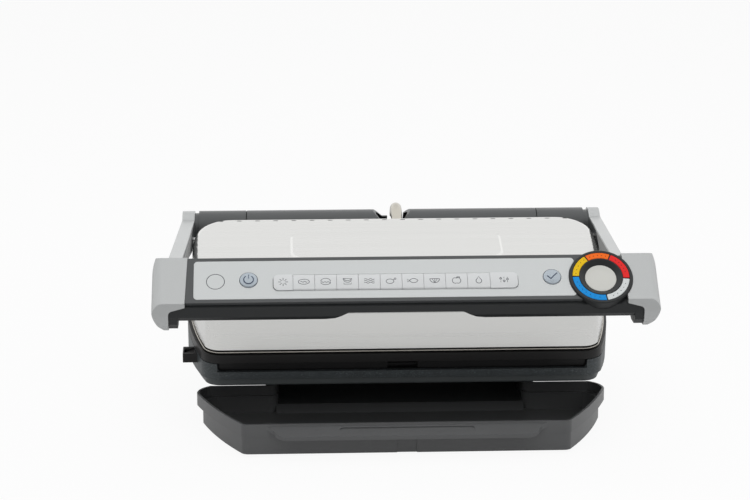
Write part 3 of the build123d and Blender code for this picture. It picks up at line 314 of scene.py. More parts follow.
class Surface(Finish):
    """One material, built from nodes round a Principled shader."""

    def __init__(self, name, colour, roughness, metallic=0.0, specular=0.5):
        super().__init__(bpy.data.materials.new(name))
        self.shader = self.tree.nodes["Principled BSDF"]
        self.output = self.tree.nodes["Material Output"]
        self.set("Base Color", (*colour, 1.0))
        self.set("Roughness", roughness)
        self.set("Metallic", metallic)
        self.set("Specular IOR Level", specular)
        self.owner.diffuse_color = (*colour, 1.0)

    def set(self, name, value):
        self.feed(self.shader.inputs[name], value)

    def noise(self, scale, detail=2.0, stretch=(1.0, 1.0, 1.0)):
        """Noise on Object coordinates, stretched along the axes."""
        point = self.node("ShaderNodeTexCoord")[3]
        place = self.node("ShaderNodeMapping", {"vector_type": "POINT"},
                          {"Vector": point, "Scale": stretch})[0]
        return self.node("ShaderNodeTexNoise", {}, {"Vector": place, "Scale": scale, "Detail": detail})[0]

    def mix(self, share, first, second):
        """Colour between first and second, by share. Each is a colour or an earlier mix."""
        ends = [part if isinstance(part, Num) else (*part, 1.0) for part in (first, second)]
        return self.node("ShaderNodeMix", {"data_type": "RGBA"}, {0: share, 6: ends[0], 7: ends[1]})[0]

    def bump(self, height, distance):
        self.set("Normal", self.node("ShaderNodeBump", {}, {"Height": height, "Distance": distance})[0])


def shade(colour, factor):
    """A colour made darker or lighter."""
    return tuple(min(1.0, part * factor) for part in colour)


def grained_plastic(name, colour, roughness, specular=0.4, grain=2200.0, depth=0.00002):
    """Moulded plastic with a fine spark-eroded grain and small shifts of colour."""
    made = Surface(name, colour, roughness, 0.0, specular)
    made.set("Base Color", made.mix(made.noise(18.0, 3.0), shade(colour, 0.93), shade(colour, 1.07)))
    made.set("Roughness", made.noise(60.0) * 0.08 + (roughness - 0.04))
    made.bump(made.noise(grain), depth)
    return made.owner


def flecked_plastic(name, colour, roughness):
    """Moulded plastic with small pale flecks and a coarser grain."""
    made = Surface(name, colour, roughness, 0.0, 0.4)
    base = made.mix(made.noise(26.0, 3.0), shade(colour, 0.88), shade(colour, 1.12))
    fleck = made.noise(1300.0, 0.0).over(0.64)
    made.set("Base Color", made.mix(fleck * 0.4, base, shade(colour, 4.0)))
    made.set("Roughness", made.noise(80.0) * 0.12 + (roughness - 0.06))
    made.bump(made.noise(1300.0), 0.00004)
    return made.owner


def brushed_metal(name, colour, roughness, contrast):
    """Metal sheet brushed from side to side: long fine streaks in its colour, roughness and relief."""
    made = Surface(name, colour, roughness, 1.0)
    streak = made.noise(1300.0, 3.0, (0.006, 1.0, 1.0))
    broad = made.noise(150.0, 3.0, (0.02, 1.0, 1.0))
    made.set("Roughness", streak * contrast + broad * contrast + (roughness - contrast))
    made.set("Base Color", made.mix(streak * 0.5 + broad * 0.5, shade(colour, 0.94), shade(colour, 1.06)))
    made.bump(streak, 0.000006)
    return made.owner


def satin_paint(name, colour, roughness, metallic):
    """Silver lacquer with fine flakes."""
    made = Surface(name, colour, roughness, metallic)
    made.set("Base Color", made.mix(made.noise(5200.0, 0.0), shade(colour, 0.94), shade(colour, 1.06)))
    made.set("Roughness", made.noise(40.0) * 0.06 + (roughness - 0.03))
    made.bump(made.noise(900.0), 0.000006)
    return made.owner


def smooth_finish(name, colour, roughness, metallic=0.0, specular=0.5):
    """Plain even surface with a trace of unevenness."""
    made = Surface(name, colour, roughness, metallic, specular)
    made.set("Base Color", made.mix(made.noise(50.0), shade(colour, 0.97), shade(colour, 1.03)))
    made.set("Roughness", made.noise(90.0) * 0.05 + (roughness - 0.025))
    made.bump(made.noise(600.0, 1.0), 0.000004)
    return made.owner


def coated_casting(name, colour):
    """Non-stick coating on a casting: dark, slightly pebbled, with pale flecks."""
    made = Surface(name, colour, 0.42, 0.0, 0.3)
    base = made.mix(made.noise(30.0, 3.0), shade(colour, 0.85), shade(colour, 1.15))
    made.set("Base Color", made.mix(made.noise(1600.0, 0.0).over(0.72) * 0.3, base, shade(colour, 5.0)))
    made.set("Roughness", made.noise(120.0, 3.0) * 0.16 + 0.34)
    made.bump(made.noise(700.0, 3.0), 0.00006)
    return made.owner


def colour_of(name):
    """Colour from the settings, or from the packed record where the settings have none."""
    colours = bpy.context.scene.grill_colours
    if hasattr(colours, name):
        return tuple(getattr(colours, name))
    return next(tuple(item["base_color"]) for item in RECORD["materials"] if item["slot"] == name)[:3]


# How each finish is made, and with which roughness and other values. The rest are plain and smooth.
MAKERS = {
    "casing_plastic": (grained_plastic, 0.44),
    "base_plastic": (flecked_plastic, 0.46),
    "hinge_plastic": (grained_plastic, 0.38, 0.5),
    "pan_plastic": (grained_plastic, 0.42),
    "tray_plastic": (grained_plastic, 0.33, 0.6),
    "skirt_plastic": (grained_plastic, 0.42, 0.3),
    "rubber_black": (grained_plastic, 0.75, 0.3, 1500.0, 0.00003),
    "silver_paint": (satin_paint, 0.36, 0.45),
    "fascia_silver": (satin_paint, 0.42, 0.15),
    "key_silver": (satin_paint, 0.33, 0.1),
    "button_blue_silver": (satin_paint, 0.24, 0.6),
    "stainless": (brushed_metal, 0.25, 0.12),
    "reflector_aluminium": (brushed_metal, 0.35, 0.10),
    "bright_trim": (smooth_finish, 0.24, 1.0),
    "conduit_metal": (smooth_finish, 0.30, 0.9),
    "heater_steel": (smooth_finish, 0.5, 1.0),
    "steel": (smooth_finish, 0.28, 1.0),
    "bronze": (smooth_finish, 0.45, 1.0),
    "nonstick": (coated_casting,),
    "window_pale": (smooth_finish, 0.5),
    **{"level_" + level: (smooth_finish, 0.5, 0.0, 0.2) for level in LEVEL_DOTS},
}
PLAIN = (smooth_finish, 0.4)
FINISHES = {}


def finish_for(name):
    """The material of a slot or a print, made once."""
    if name not in FINISHES:
        make, *values = MAKERS.get(name, PLAIN)
        FINISHES[name] = make(name, colour_of(name), *values)
    return FINISHES[name]


def new_object(name, mesh):
    """A new object in the scene."""
    made = bpy.data.objects.new(name, mesh)
    bpy.context.scene.collection.objects.link(made)
    return made


def mesh_from(soft, name):
    """A new object that holds what a bmesh holds."""
    mesh = bpy.data.meshes.new(name)
    soft.to_mesh(mesh)
    soft.free()
    return new_object(name, mesh)


def merged_copy(node, name, whole=True):
    """A copy of a CAD node's mesh with its triangles joined and, where whole, its flat faces too."""
    mesh = frame["nodes"][node].data.copy()
    soft = bmesh.new()
    soft.from_mesh(mesh)
    bmesh.ops.remove_doubles(soft, verts=soft.verts, dist=JOIN_GAP * MM)
    if whole:
        bmesh.ops.dissolve_limit(soft, angle_limit=radians(JOIN_ANGLE), verts=soft.verts, edges=soft.edges)
    soft.to_mesh(mesh)
    soft.free()
    for attribute in [item for item in mesh.attributes if item.name == "custom_normal"]:
        mesh.attributes.remove(attribute)
    mesh.materials.clear()
    return new_object(name, mesh)


def settle(obj):
    """Applies every modifier of an object through its evaluated mesh."""
    graph = bpy.context.evaluated_depsgraph_get()
    mesh = bpy.data.meshes.new_from_object(obj.evaluated_get(graph))
    obj.modifiers.clear()
    obj.data = mesh
    return obj


def rounded(obj, width, segments=3, flat_over=1.0):
    """Rounds the sharp edges of a mesh by width. Faces larger than flat_over keep one even shade."""
    for face in obj.data.polygons:
        face.use_smooth = True
    bevel = obj.modifiers.new("Edges", "BEVEL")
    bevel.width = width
    bevel.segments = segments
    bevel.limit_method = "ANGLE"
    bevel.angle_limit = radians(EDGE_ANGLE)
    bevel.use_clamp_overlap = True
    bevel.miter_outer = "MITER_ARC"
    settle(obj)
    for face in obj.data.polygons:
        face.use_smooth = face.area < flat_over
    obj.data.set_sharp_from_angle(angle=radians(CREASE_ANGLE))
    even = obj.modifiers.new("Normals", "WEIGHTED_NORMAL")
    even.weight = FACE_WEIGHT
    even.keep_sharp = True
    return settle(obj)


def dress(obj, name):
    """Gives an object one finish."""
    obj.data.materials.clear()
    obj.data.materials.append(finish_for(name))
    return obj


def stands_for(piece, node, finish=None):
    """The piece takes the place, the body and the finish of a CAD node."""
    dress(piece, finish or SLOT_OF[node])
    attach(piece, BODY_OF[node])
    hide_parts(node)


def soften(width, *nodes, segments=3, finish=None):
    """Finished pieces made from CAD nodes by rounding their edges."""
    for node in nodes:
        stands_for(rounded(merged_copy(node, node + "_finished"), width, segments), node, finish)


def polish(*nodes):
    """CAD nodes that keep their mesh and get their finish."""
    for node in nodes:
        dress(frame["nodes"][node], SLOT_OF[node])


def centre_of(node):
    """Middle of a CAD node's box."""
    low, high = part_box(node)
    return (Vector(low) + Vector(high)) / 2


def panel_place():
    """From the panel's own coordinates, in millimetres, to the frame."""
    return (Matrix.Translation((0, PANEL_FRONT * MM, PANEL_HEIGHT * MM))
            @ Matrix.Rotation(radians(PANEL_TILT), 4, "X") @ Matrix.Scale(MM, 4))


def on_panel(node):
    """Place of a node's middle along and up the panel, in millimetres."""
    point = panel_place().inverted() @ centre_of(node)
    return point.x, point.y


class Tree:
    """A geometry tree with named inputs that puts the object's own mesh on points."""

    def __init__(self, name, inputs):
        self.group = bpy.data.node_groups.new(name, "GeometryNodeTree")
        face = self.group.interface
        face.new_socket("Shape", in_out="INPUT", socket_type="NodeSocketGeometry")
        for label, kind in inputs:
            face.new_socket(label, in_out="INPUT", socket_type="NodeSocket" + kind)
        face.new_socket("Material", in_out="INPUT", socket_type="NodeSocketMaterial")
        face.new_socket("Result", in_out="OUTPUT", socket_type="NodeSocketGeometry")
        self.inputs = self.group.nodes.new("NodeGroupInput").outputs

    def node(self, kind, sockets, settings=None):
        made = self.group.nodes.new(kind)
        for key, value in (settings or {}).items():
            setattr(made, key, value)
        for key, value in sockets.items():
            self.group.links.new(value, made.inputs[key])
        return made.outputs[0]

    def close(self, points):
        """Puts the shape on the points, makes the copies real and gives them the material."""
        copies = self.node("GeometryNodeInstanceOnPoints",
                           {"Points": points, "Instance": self.inputs["Shape"]})
        real = self.node("GeometryNodeRealizeInstances", {0: copies})
        done = self.node("GeometryNodeSetMaterial",
                         {"Geometry": real, "Material": self.inputs["Material"]})
        self.group.links.new(done, self.group.nodes.new("NodeGroupOutput").inputs[0])
        return self.group


def row_tree():
    """Copies in a straight row."""
    tree = Tree("Row", (("Count", "Int"), ("Start", "Vector"), ("Step", "Vector")))
    places = {"Count": tree.inputs["Count"], "Offset": tree.inputs["Step"],
              "Start Location": tree.inputs["Start"]}
    points = tree.node("GeometryNodeMeshLine", places, {"mode": "OFFSET"})
    return tree.close(points)


def arc_tree():
    """Copies along an arc round the origin."""
    tree = Tree("Arc", (("Count", "Int"), ("Radius", "Float"), ("Start", "Float"), ("Sweep", "Float")))
    points = tree.node("GeometryNodeCurveArc", {"Resolution": tree.inputs["Count"],
                                                "Radius": tree.inputs["Radius"],
                                                "Start Angle": tree.inputs["Start"],
                                                "Sweep Angle": tree.inputs["Sweep"]})
    return tree.close(points)


def scatter_tree():
    """Copies on every vertex of another object."""
    tree = Tree("Scatter", (("Places", "Object"),))
    info = tree.group.nodes.new("GeometryNodeObjectInfo")
    tree.group.links.new(tree.inputs["Places"], info.inputs["Object"])
    return tree.close(info.outputs["Geometry"])


def repeated(obj, make_tree, finish, values):
    """Runs a geometry tree on an object and keeps the plain mesh that it makes."""
    name = make_tree.__name__
    group = bpy.data.node_groups.get(name) or make_tree()
    group.name = name
    spread = obj.modifiers.new("Copies", "NODES")
    spread.node_group = group
    for item in group.interface.items_tree:
        if item.in_out == "INPUT" and item.name in values:
            spread[item.identifier] = values[item.name]
        elif item.name == "Material":
            spread[item.identifier] = finish_for(finish)
    return settle(obj)


def arc(x, y, rx, ry, start=0, end=360, steps=20):
    """Points along an ellipse, between two angles in degrees."""
    turns = [radians(start + (end - start) * step / steps) for step in range(steps + 1)]
    return [(x + rx * cos(turn), y + ry * sin(turn)) for turn in turns]


def wave(x, y, half, rise, bends=2, steps=16):
    """Points along a wavy line."""
    return [(x - half + 2 * half * step / steps, y + rise * sin(bends * radians(360) * step / steps))
            for step in range(steps + 1)]


def spokes(count, inner, outer):
    """Short lines that point out of a middle."""
    turns = [radians(360 * step / count) for step in range(count)]
    return [[(inner * cos(turn), inner * sin(turn)), (outer * cos(turn), outer * sin(turn))]
            for turn in turns]


def pictograms():
    """Strokes of the symbol on each key, in millimetres from the key's middle."""
    return {
        "key_1": spokes(8, 1.2, 2.9),
        "key_2": [arc(0, 0, 3.3, 1.8), wave(0, 0, 2.0, 0.4)],
        "key_3": [arc(0, 0.1, 2.9, 2.2, 0, 180), arc(0, -0.7, 2.9, 1.5, 180, 360),
                  wave(0, -0.4, 2.8, 0.25, 3)],
        "key_4": [[(-2.6, 2.0), (2.6, 2.0), (2.1, -2.0), (-2.1, -2.0), (-2.6, 2.0)],
                  arc(0, 2.0, 2.3, 1.5, 180, 360), arc(0, 0.9, 2.2, 1.6, 180, 360)],
        "key_5": [wave(0, 1.4, 3.0, 0.35), wave(0, 0.1, 3.0, 0.35), wave(0, -1.2, 3.0, 0.35)],
        "key_6": [arc(-0.7, -0.3, 2.3, 1.6), arc(2.4, 1.5, 0.55, 0.55), [(1.1, 0.7), (2.0, 1.2)]],
        "key_7": [arc(0.5, -1.3, 2.8, 2.8, 28, 152), arc(0.5, 1.3, 2.8, 2.8, 208, 332),
                  [(-1.9, 0), (-3.3, 1.1), (-3.3, -1.1), (-1.9, 0)]],
        "key_8": [arc(0, 1.2, 2.9, 2.9, 180, 360), [(-2.9, 1.2), (2.9, 1.2)], [(0, 1.2), (0, -1.7)],
                  [(0, -1.7), (-1.6, 1.2)], [(0, -1.7), (1.6, 1.2)]],
        "key_9": [arc(-0.9, -0.3, 1.6, 2.0, 60, 300), arc(0.9, -0.3, 1.6, 2.0, -120, 120),
                  [(0, 1.3), (0.3, 2.4)], arc(1.2, 2.1, 0.8, 0.4)],
        "key_10": [arc(0, -0.6, 1.7, 1.7, 130, 410), [(-1.1, 0.7), (0, 2.5), (1.1, 0.7)]],
        "key_11": [[(-2.0, -1.9), (-2.0, 1.9)], [(0, -1.9), (0, 1.9)], [(2.0, -1.9), (2.0, 1.9)],
                   arc(-2.0, 0.8, 0.6, 0.6), arc(0, -0.9, 0.6, 0.6), arc(2.0, 0.3, 0.6, 0.6)],
    }


def drawing(name, strokes, body, finish, place, height, thick=1.0):
    """Printed lines on the panel: thin flattened beads that follow the surface's height."""
    line = bpy.data.curves.new(name, "CURVE")
    line.dimensions = "3D"
    line.bevel_depth = bpy.context.scene.grill_details.line / MM * thick
    line.bevel_resolution = 1
    line.use_fill_caps = True
    for stroke in strokes:
        spline = line.splines.new("POLY")
        spline.points.add(len(stroke) - 1)
        for point, (x, y) in zip(spline.points, stroke):
            point.co = (SYMBOL_SCALE * x, SYMBOL_SCALE * y, 0, 1)
    source = new_object(name + "_lines", line)
    graph = bpy.context.evaluated_depsgraph_get()
    mesh = bpy.data.meshes.new_from_object(source.evaluated_get(graph))
    bpy.data.objects.remove(source)
    for vertex in mesh.vertices:
        x, y, z = vertex.co
        vertex.co = (x + place[0], y + place[1], height(x, y) + z * SYMBOL_FLATNESS)
    mesh.transform(panel_place())
    piece = dress(new_object(name, mesh), finish)
    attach(piece, body)


class GRILL_OT_stage(bpy.types.Operator):
    """Floor, soft lights and the camera."""
    bl_idname = "grill.stage"
    bl_label = "Stage"

    def execute(self, context):
        scene = context.scene
        light = scene.grill_light
        scene.view_settings.view_transform = "Standard"
        camera = new_object("camera", bpy.data.cameras.new("camera"))
        camera.location = CAMERA_PLACE
        camera.rotation_euler = (radians(90 - CAMERA_PITCH), 0, radians(-CAMERA_YAW))
        camera.data.lens = CAMERA_LENS
        camera.data.sensor_width = SENSOR_WIDTH
        scene.camera = camera
        soft = bmesh.new()
        bmesh.ops.create_grid(soft, x_segments=1, y_segments=1, size=FLOOR_REACH)
        floor = mesh_from(soft, "floor")
        floor.data.materials.append(floor_finish())
        for name, (place, size) in LAMPS.items():
            lamp(name, place, size, getattr(light, name))
        scene.world = studio_world(light.world)
        return {"FINISHED"}


def lamp(name, place, size, power):
    """Square soft lamp that points at the grill and isn't mirrored in it."""
    light = bpy.data.lights.new(name, "AREA")
    light.shape = "SQUARE"
    light.size = size
    light.energy = power
    made = new_object(name, light)
    made.location = place
    made.rotation_euler = (Vector(LAMP_AIM) - Vector(place)).to_track_quat("-Z", "Y").to_euler()
    made.visible_glossy = False


def floor_finish():
    """Pale floor that the camera and reflections see nearly white, with a faint shadow."""
    made = Surface("floor", FLOOR_GREY, 0.9, 0.0, 0.2)
    rays = made.rays()
    camera, glossy, through = (rays[kind] * level for kind, level in FLOOR_SEEN.items())
    seen = (camera + glossy + through).clamped()
    glow = made.tree.nodes.new("ShaderNodeEmission")
    blend = made.tree.nodes.new("ShaderNodeMixShader")
    made.feed(blend.inputs[0], seen)
    made.tree.links.new(made.shader.outputs[0], blend.inputs[1])
    made.tree.links.new(glow.outputs[0], blend.inputs[2])
    made.tree.links.new(blend.outputs[0], made.output.inputs[0])
    return made.owner


def mirrored_level(made, way, shares, reach, ends):
    """A level that changes smoothly with the way a mirrored ray goes."""
    value = way[1] * shares[0] + way[2] * shares[1]
    return made.node("ShaderNodeMapRange", {"interpolation_type": "SMOOTHSTEP"},
                     {"Value": value, "From Min": reach[0], "From Max": reach[1],
                      "To Min": ends[0], "To Max": ends[1]})[0]


def studio_world(strength):
    """White surroundings: plain for the camera, brighter overhead and behind in reflections."""
    world = bpy.data.worlds.new("studio")
    made = Finish(world)
    back = made.tree.nodes["Background"]
    back.inputs["Color"].default_value = (1, 1, 1, 1)
    rays = made.rays()
    way = made.node("ShaderNodeSeparateXYZ", {}, {0: made.node("ShaderNodeTexCoord")[0]})
    bright = mirrored_level(made, way, *MIRROR_SKY) - mirrored_level(made, way, *MIRROR_SCREEN)
    mirrored = rays["Is Glossy Ray"] * bright
    plain = (rays["Is Camera Ray"] + rays["Is Transmission Ray"]).clamped()
    spread = (1 - (plain + rays["Is Glossy Ray"]).clamped()) * strength
    made.feed(back.inputs["Strength"], plain + mirrored * (1 - plain) + spread)
    return world


class GRILL_OT_cover(bpy.types.Operator):
    """Stainless cover, its trim, the painted shade in its vents, and the black skirt under them."""
    bl_idname = "grill.cover"
    bl_label = "Cover"

    def execute(self, context):
        edges = context.scene.grill_edges
        soften(edges.cover, "upper_cover")
        soften(edges.small, "upper_trim", "pivot_brackets", "float_pins")
        soften(edges.casing, "upper_skirt")
        vent_mouths(context.scene.grill_details)
        return {"FINISHED"}


def vent_mouths(details):
    """Thin black slabs just under the vents along the back edge of the cover's top: painted shade of the
    vent openings.
    """
    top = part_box("upper_cover")[1][2]
    slope = radians(COVER_SLOPE)
    soft = bmesh.new()
    bmesh.ops.create_cube(soft, size=1.0)
    bmesh.ops.scale(soft, verts=soft.verts, vec=[side * MM for side in VENT_SHADE_SIZE])
    vents = rounded(mesh_from(soft, "cover_vent_mouths"), VENT_EDGE * MM, 2)
    first = -(details.vent_count - 1) / 2 * details.vent_pitch
    repeated(vents, row_tree, "skirt_plastic",
             {"Count": details.vent_count, "Start": (first, 0, 0), "Step": (details.vent_pitch, 0, 0)})
    rise = top - COVER_EDGE[1] * MM
    depth = COVER_EDGE[0] * MM + rise / sin(slope) * cos(slope) - VENT_INSET * MM
    place = Matrix.Translation((0, depth, top - VENT_DROP * MM))
    vents.data.transform(place @ Matrix.Rotation(slope, 4, "X"))
    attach(vents, BODY_OF["upper_cover"])


class GRILL_OT_base(bpy.types.Operator):
    """Lower casing, its pan, leg cover, feet and screws."""
    bl_idname = "grill.base"
    bl_label = "Base"

    def execute(self, context):
        edges = context.scene.grill_edges
        soften(edges.casing, "base_shell", finish="base_plastic")
        soften(edges.casing, "base_bottom_cover", "leg_cover")
        soften(edges.small, "base_feet")
        screw_heads(context.scene.grill_details)
        return {"FINISHED"}


def middles(node):
    """Middle of each separate solid in a CAD node, in a steady order."""
    soft = bmesh.new()
    soft.from_mesh(frame["nodes"][node].data)
    bmesh.ops.remove_doubles(soft, verts=soft.verts, dist=JOIN_GAP * MM)
    left = set(soft.verts)
    found = []
    while left:
        solid = []
        reached = [left.pop()]
        while reached:
            vertex = reached.pop()
            solid.append(vertex.co)
            near = {link.other_vert(vertex) for link in vertex.link_edges} & left
            left -= near
            reached += near
        low = [min(point[axis] for point in solid) for axis in range(3)]
        high = [max(point[axis] for point in solid) for axis in range(3)]
        found.append((Vector(low) + Vector(high)) / 2)
    soft.free()
    return sorted(found, key=lambda point: (round(point.x, 4), round(point.y, 4)))


def screw_heads(details):
    """Cross-head screws under the base, one on the place of each CAD screw."""
    places = bmesh.new()
    for middle in middles("base_screws"):
        places.verts.new(middle)
    points = mesh_from(places, "screw_places")
    soft = bmesh.new()
    bmesh.ops.create_cone(soft, cap_ends=True, segments=SCREW_STEPS, radius1=details.screw,
                          radius2=details.screw, depth=SCREW_THICK * MM)
    head = rounded(mesh_from(soft, "base_screw_heads"), SCREW_EDGE * MM, 2)
    for turn in (0, 90):
        head = notched(head, turn, details.screw)
    repeated(head, scatter_tree, "steel", {"Places": points})
    bpy.data.objects.remove(points)
    stands_for(head, "base_screws")


def notched(head, turn, radius):
    """Cuts one arm of the cross into a screw head's lower face."""
    soft = bmesh.new()
    bmesh.ops.create_cube(soft, size=1.0)
    size = (radius * CROSS_REACH, radius * CROSS_WIDTH, CROSS_THICK * MM)
    bmesh.ops.scale(soft, verts=soft.verts, vec=size)
    bmesh.ops.rotate(soft, verts=soft.verts, matrix=Matrix.Rotation(radians(turn), 3, "Z"))
    bmesh.ops.translate(soft, verts=soft.verts, vec=(0, 0, -CROSS_DROP * MM))
    cutter = mesh_from(soft, "cutter")
    cut = head.modifiers.new("Cross", "BOOLEAN")
    cut.operation = "DIFFERENCE"
    cut.object = cutter
    settle(head)
    bpy.data.objects.remove(cutter)
    return head


class GRILL_OT_hinge(bpy.types.Operator):
    """Rear housing, wiring conduit, cord gland, hinge pins and bushes."""
    bl_idname = "grill.hinge"
    bl_label = "Hinge"

    def execute(self, context):
        edges = context.scene.grill_edges
        soften(edges.small, "rear_housing", finish="hinge_plastic")
        soften(edges.small, "cord_gland", "hinge_pins", "hinge_bushes")
        soften(edges.small, "wiring_conduit", finish="conduit_metal")
        for side in (-1, 1):
            hinge_washer(side)
        return {"FINISHED"}


def hinge_washer(side):
    """Dark washer that closes the gap between the rear housing and an arm's knuckle."""
    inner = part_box("rear_housing")[1][0]
    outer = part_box("arm_liner_right")[0][0]
    centre = centre_of("hinge_pins")
    soft = bmesh.new()
    bmesh.ops.create_cone(soft, cap_ends=True, segments=ROUND_STEPS, radius1=WASHER_R * MM,
                          radius2=WASHER_R * MM, depth=(outer - inner) * WASHER_FILL)
    bmesh.ops.rotate(soft, verts=soft.verts, matrix=Matrix.Rotation(radians(90), 3, "Y"))
    bmesh.ops.translate(soft, verts=soft.verts, vec=(side * (inner + outer) / 2, centre.y, centre.z))
    washer = dress(mesh_from(soft, "hinge_washer_" + ("left" if side < 0 else "right")), "rubber_black")
    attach(washer, BODY_OF["rear_housing"])


class GRILL_OT_arms(bpy.types.Operator):
    """Silver skins and dark liners of the two lid arms."""
    bl_idname = "grill.arms"
    bl_label = "Arms"

    def execute(self, context):
        edges = context.scene.grill_edges
        soften(edges.arm, "arm_cover_left", "arm_cover_right")
        soften(edges.small, "arm_liner_left", "arm_liner_right", finish="hinge_plastic")
        return {"FINISHED"}


class GRILL_OT_handle(bpy.types.Operator):
    """Handle bar, the frame on it and the silver ends."""
    bl_idname = "grill.handle"
    bl_label = "Handle"

    def execute(self, context):
        edges = context.scene.grill_edges
        soften(edges.handle_end, "handle_end_left", "handle_end_right")
        soften(edges.casing, "handle_grip")
        # The frame takes the hinge's lighter grey, which is painted light on a copy of the grip's plastic
        soften(edges.panel, "handle_frame", finish="hinge_plastic")
        polish("handle_screws")
        return {"FINISHED"}


class GRILL_OT_panel(bpy.types.Operator):
    """Control panel, its keys and buttons, and their symbols."""
    bl_idname = "grill.panel"
    bl_label = "Control panel"

    def execute(self, context):
        edges = context.scene.grill_edges
        soften(edges.panel, "control_panel")
        symbols = pictograms()
        for index in range(1, KEY_COUNT + 1):
            node = "key_%d" % index
            stands_for(key_piece(node, edges), node)
            drawing(node + "_symbol", symbols[node], BODY_OF[node], "ink", on_panel(node), key_height)
        for node, strokes in (("power_button", power_symbol()), ("confirm_button", tick_symbol())):
            soften(edges.button, node, segments=4)
            drawing(node + "_symbol", strokes, BODY_OF[node], "button_ink", on_panel(node),
                    button_height, BUTTON_LINE)
        radius = RING_R / SYMBOL_SCALE
        drawing("panel_ring", [arc(0, 0, radius, radius, steps=ROUND_STEPS)], BODY_OF["control_panel"],
                "ink", RING_PLACE, lambda x, y: PANEL_TOP, RING_LINE)
        key_webs()
        return {"FINISHED"}


def key_webs():
    """Thin webs of the fascia that stand in the gaps between the keys."""
    soft = bmesh.new()
    for index in range(1, KEY_COUNT):
        corners = key_corners("key_%d" % index)
        start = max(corner.x for corner in corners)
        end = min(corner.x for corner in key_corners("key_%d" % (index + 1)))
        rows = [corner.y for corner in corners if corner.z > 0]
        middle = Vector((start + end, min(rows) + max(rows), WEB_TOP + WEB_FOOT)) / 2
        size = ((end - start) * WEB_FILL, max(rows) - min(rows) - WEB_SHORT, WEB_TOP - WEB_FOOT, 1)
        place = panel_place() @ Matrix.Translation(middle) @ Matrix.Diagonal(size)
        bmesh.ops.create_cube(soft, size=1.0, matrix=place)
    webs = dress(mesh_from(soft, "key_webs"), "key_silver")
    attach(webs, BODY_OF["control_panel"])


def key_corners(node):
    """A key's points in the panel's own coordinates."""
    upright = panel_place().inverted()
    return [upright @ vertex.co for vertex in frame["nodes"][node].data.vertices]


def key_piece(node, edges):
    """A key whose front and back edges are rounder than its sides, so the strip reads as one bar."""
    piece = merged_copy(node, node + "_finished")
    upright = panel_place().inverted()
    soft = bmesh.new()
    soft.from_mesh(piece.data)
    long_edges = []
    for edge in soft.edges:
        first, second = (upright @ vertex.co for vertex in edge.verts)
        high = min(first.z, second.z) > KEY_EDGE_LOW
        along = abs((second - first).normalized().y) < KEY_EDGE_RISE
        if high and along and edge.calc_face_angle(0) > radians(KEY_EDGE_ANGLE):
            long_edges.append(edge)
    bmesh.ops.bevel(soft, geom=long_edges, offset=edges.key, segments=4, profile=0.5, affect="EDGES",
                    clamp_overlap=True)
    soft.to_mesh(piece.data)
    soft.free()
    return rounded(piece, edges.key_side, 2)


def key_height(x, y):
    """Height of a key's crowned top."""
    return KEY_TOP - y * y / (2 * KEY_CROWN_R)


def button_height(x, y):
    """Height of a round button's dome."""
    return BUTTON_TOP - (x * x + y * y) / (2 * BUTTON_DOME_R)


def power_symbol():
    """Open ring with an upright bar."""
    return [arc(0, -0.2, 2.9, 2.9, 125, 415), [(0, 0.4), (0, 3.4)]]


def tick_symbol():
    """Plain tick."""
    return [between((-3.0, 0.3), (-0.9, -2.0)) + between((-0.9, -2.0), (3.2, 2.5))]


def between(start, end, count=8):
    """Points along a straight stroke, so that it can follow a crowned surface."""
    return [tuple(Vector(start).lerp(Vector(end), step / count)) for step in range(count + 1)]


class GRILL_OT_dial(bpy.types.Operator):
    """Bezel, window, coloured levels and their dots."""
    bl_idname = "grill.dial"
    bl_label = "Dial"

    def execute(self, context):
        edges = context.scene.grill_edges
        soften(edges.small, "indicator_bezel", "indicator_window")
        for colour in LEVEL_DOTS:
            soften(edges.small * LEVEL_EDGE, "level_" + colour)
            level_dots(colour, context.scene.grill_details.dot)
        return {"FINISHED"}


def level_dots(colour, radius):
    """Row of dots round one coloured level."""
    start, end, count = LEVEL_DOTS[colour]
    soft = bmesh.new()
    bmesh.ops.create_cone(soft, cap_ends=True, segments=DOT_STEPS, radius1=radius / MM,
                          radius2=radius / MM, depth=DOT_THICK)
    dots = mesh_from(soft, "level_%s_dots" % colour)
    repeated(dots, arc_tree, "skirt_plastic", {"Count": count, "Radius": DIAL_RING_R,
                                               "Start": radians(start), "Sweep": radians(end - start)})
    lift = Matrix.Translation((*DIAL_PLACE, DIAL_RING_TOP))
    dots.data.transform(panel_place() @ lift)
    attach(dots, BODY_OF["level_" + colour])


class GRILL_OT_plates(bpy.types.Operator):
    """Cooking plates and the release buttons that free them."""
    bl_idname = "grill.plates"
    bl_label = "Cooking plates"

    def execute(self, context):
        edges = context.scene.grill_edges
        for node in ("lower_plate", "upper_plate"):
            piece = merged_copy(node, node + "_finished", whole=False)
            stands_for(rounded(piece, edges.rib, 2, PLATE_FLAT), node)
        soften(edges.small, "lower_release_button", "upper_release_button")
        return {"FINISHED"}


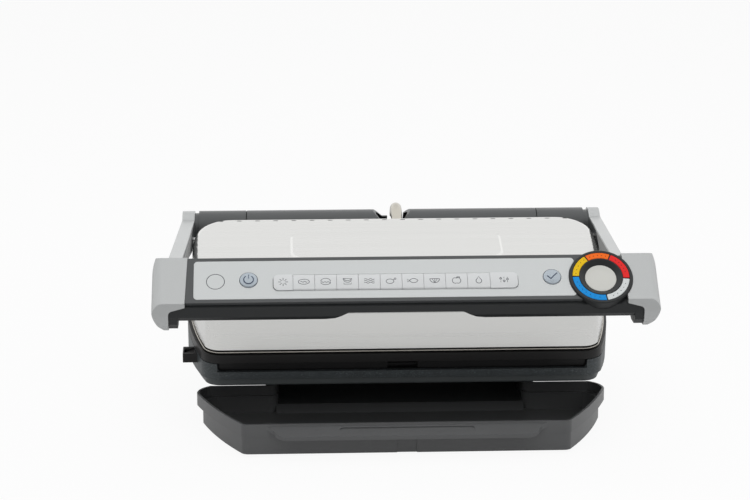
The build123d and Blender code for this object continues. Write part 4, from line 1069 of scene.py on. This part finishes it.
class GRILL_OT_inner_parts(bpy.types.Operator):
    """Heating elements, reflectors, thermostats and circuit boards."""
    bl_idname = "grill.inner_parts"
    bl_label = "Inner parts"

    def execute(self, context):
        polish("upper_heater", "lower_heater", "upper_reflector", "lower_reflector", "power_board",
               "control_board")
        soften(context.scene.grill_edges.small, "upper_thermostat", "lower_thermostat")
        return {"FINISHED"}


class GRILL_OT_tray(bpy.types.Operator):
    """Drip tray."""
    bl_idname = "grill.tray"
    bl_label = "Drip tray"

    def execute(self, context):
        soften(context.scene.grill_edges.tray, "drip_tray")
        return {"FINISHED"}


PIECES = (GRILL_OT_cover, GRILL_OT_base, GRILL_OT_hinge, GRILL_OT_arms, GRILL_OT_handle, GRILL_OT_panel,
          GRILL_OT_dial, GRILL_OT_plates, GRILL_OT_inner_parts, GRILL_OT_tray)
SETTINGS = {"grill_colours": GRILL_PG_colours, "grill_edges": GRILL_PG_edges,
            "grill_light": GRILL_PG_light, "grill_details": GRILL_PG_details}


class GRILL_PT_sidebar(bpy.types.Panel):
    """Steps and settings of the grill."""
    bl_idname = "GRILL_PT_sidebar"
    bl_label = "Contact grill"
    bl_space_type = "VIEW_3D"
    bl_region_type = "UI"
    bl_category = "Grill"

    def draw(self, context):
        column = self.layout.column()
        for step in (GRILL_OT_stage, *PIECES):
            column.operator(step.bl_idname)
        for name, group in SETTINGS.items():
            box = self.layout.box()
            box.label(text=group.__doc__)
            for setting in group.__annotations__:
                box.prop(getattr(context.scene, name), setting)


CLASSES = (*SETTINGS.values(), GRILL_OT_stage, *PIECES, GRILL_PT_sidebar)


def register():
    for item in CLASSES:
        bpy.utils.register_class(item)
    for name, group in SETTINGS.items():
        setattr(bpy.types.Scene, name, PointerProperty(type=group))


def unregister():
    for name in SETTINGS:
        delattr(bpy.types.Scene, name)
    for item in reversed(CLASSES):
        bpy.utils.unregister_class(item)


def main():
    register()
    bpy.ops.grill.stage()
    bpy.ops.grill.cover()
    bpy.ops.grill.base()
    bpy.ops.grill.hinge()
    bpy.ops.grill.arms()
    bpy.ops.grill.handle()
    bpy.ops.grill.panel()
    bpy.ops.grill.dial()
    bpy.ops.grill.plates()
    bpy.ops.grill.inner_parts()
    bpy.ops.grill.tray()


if __name__ == "__main__":
    main()
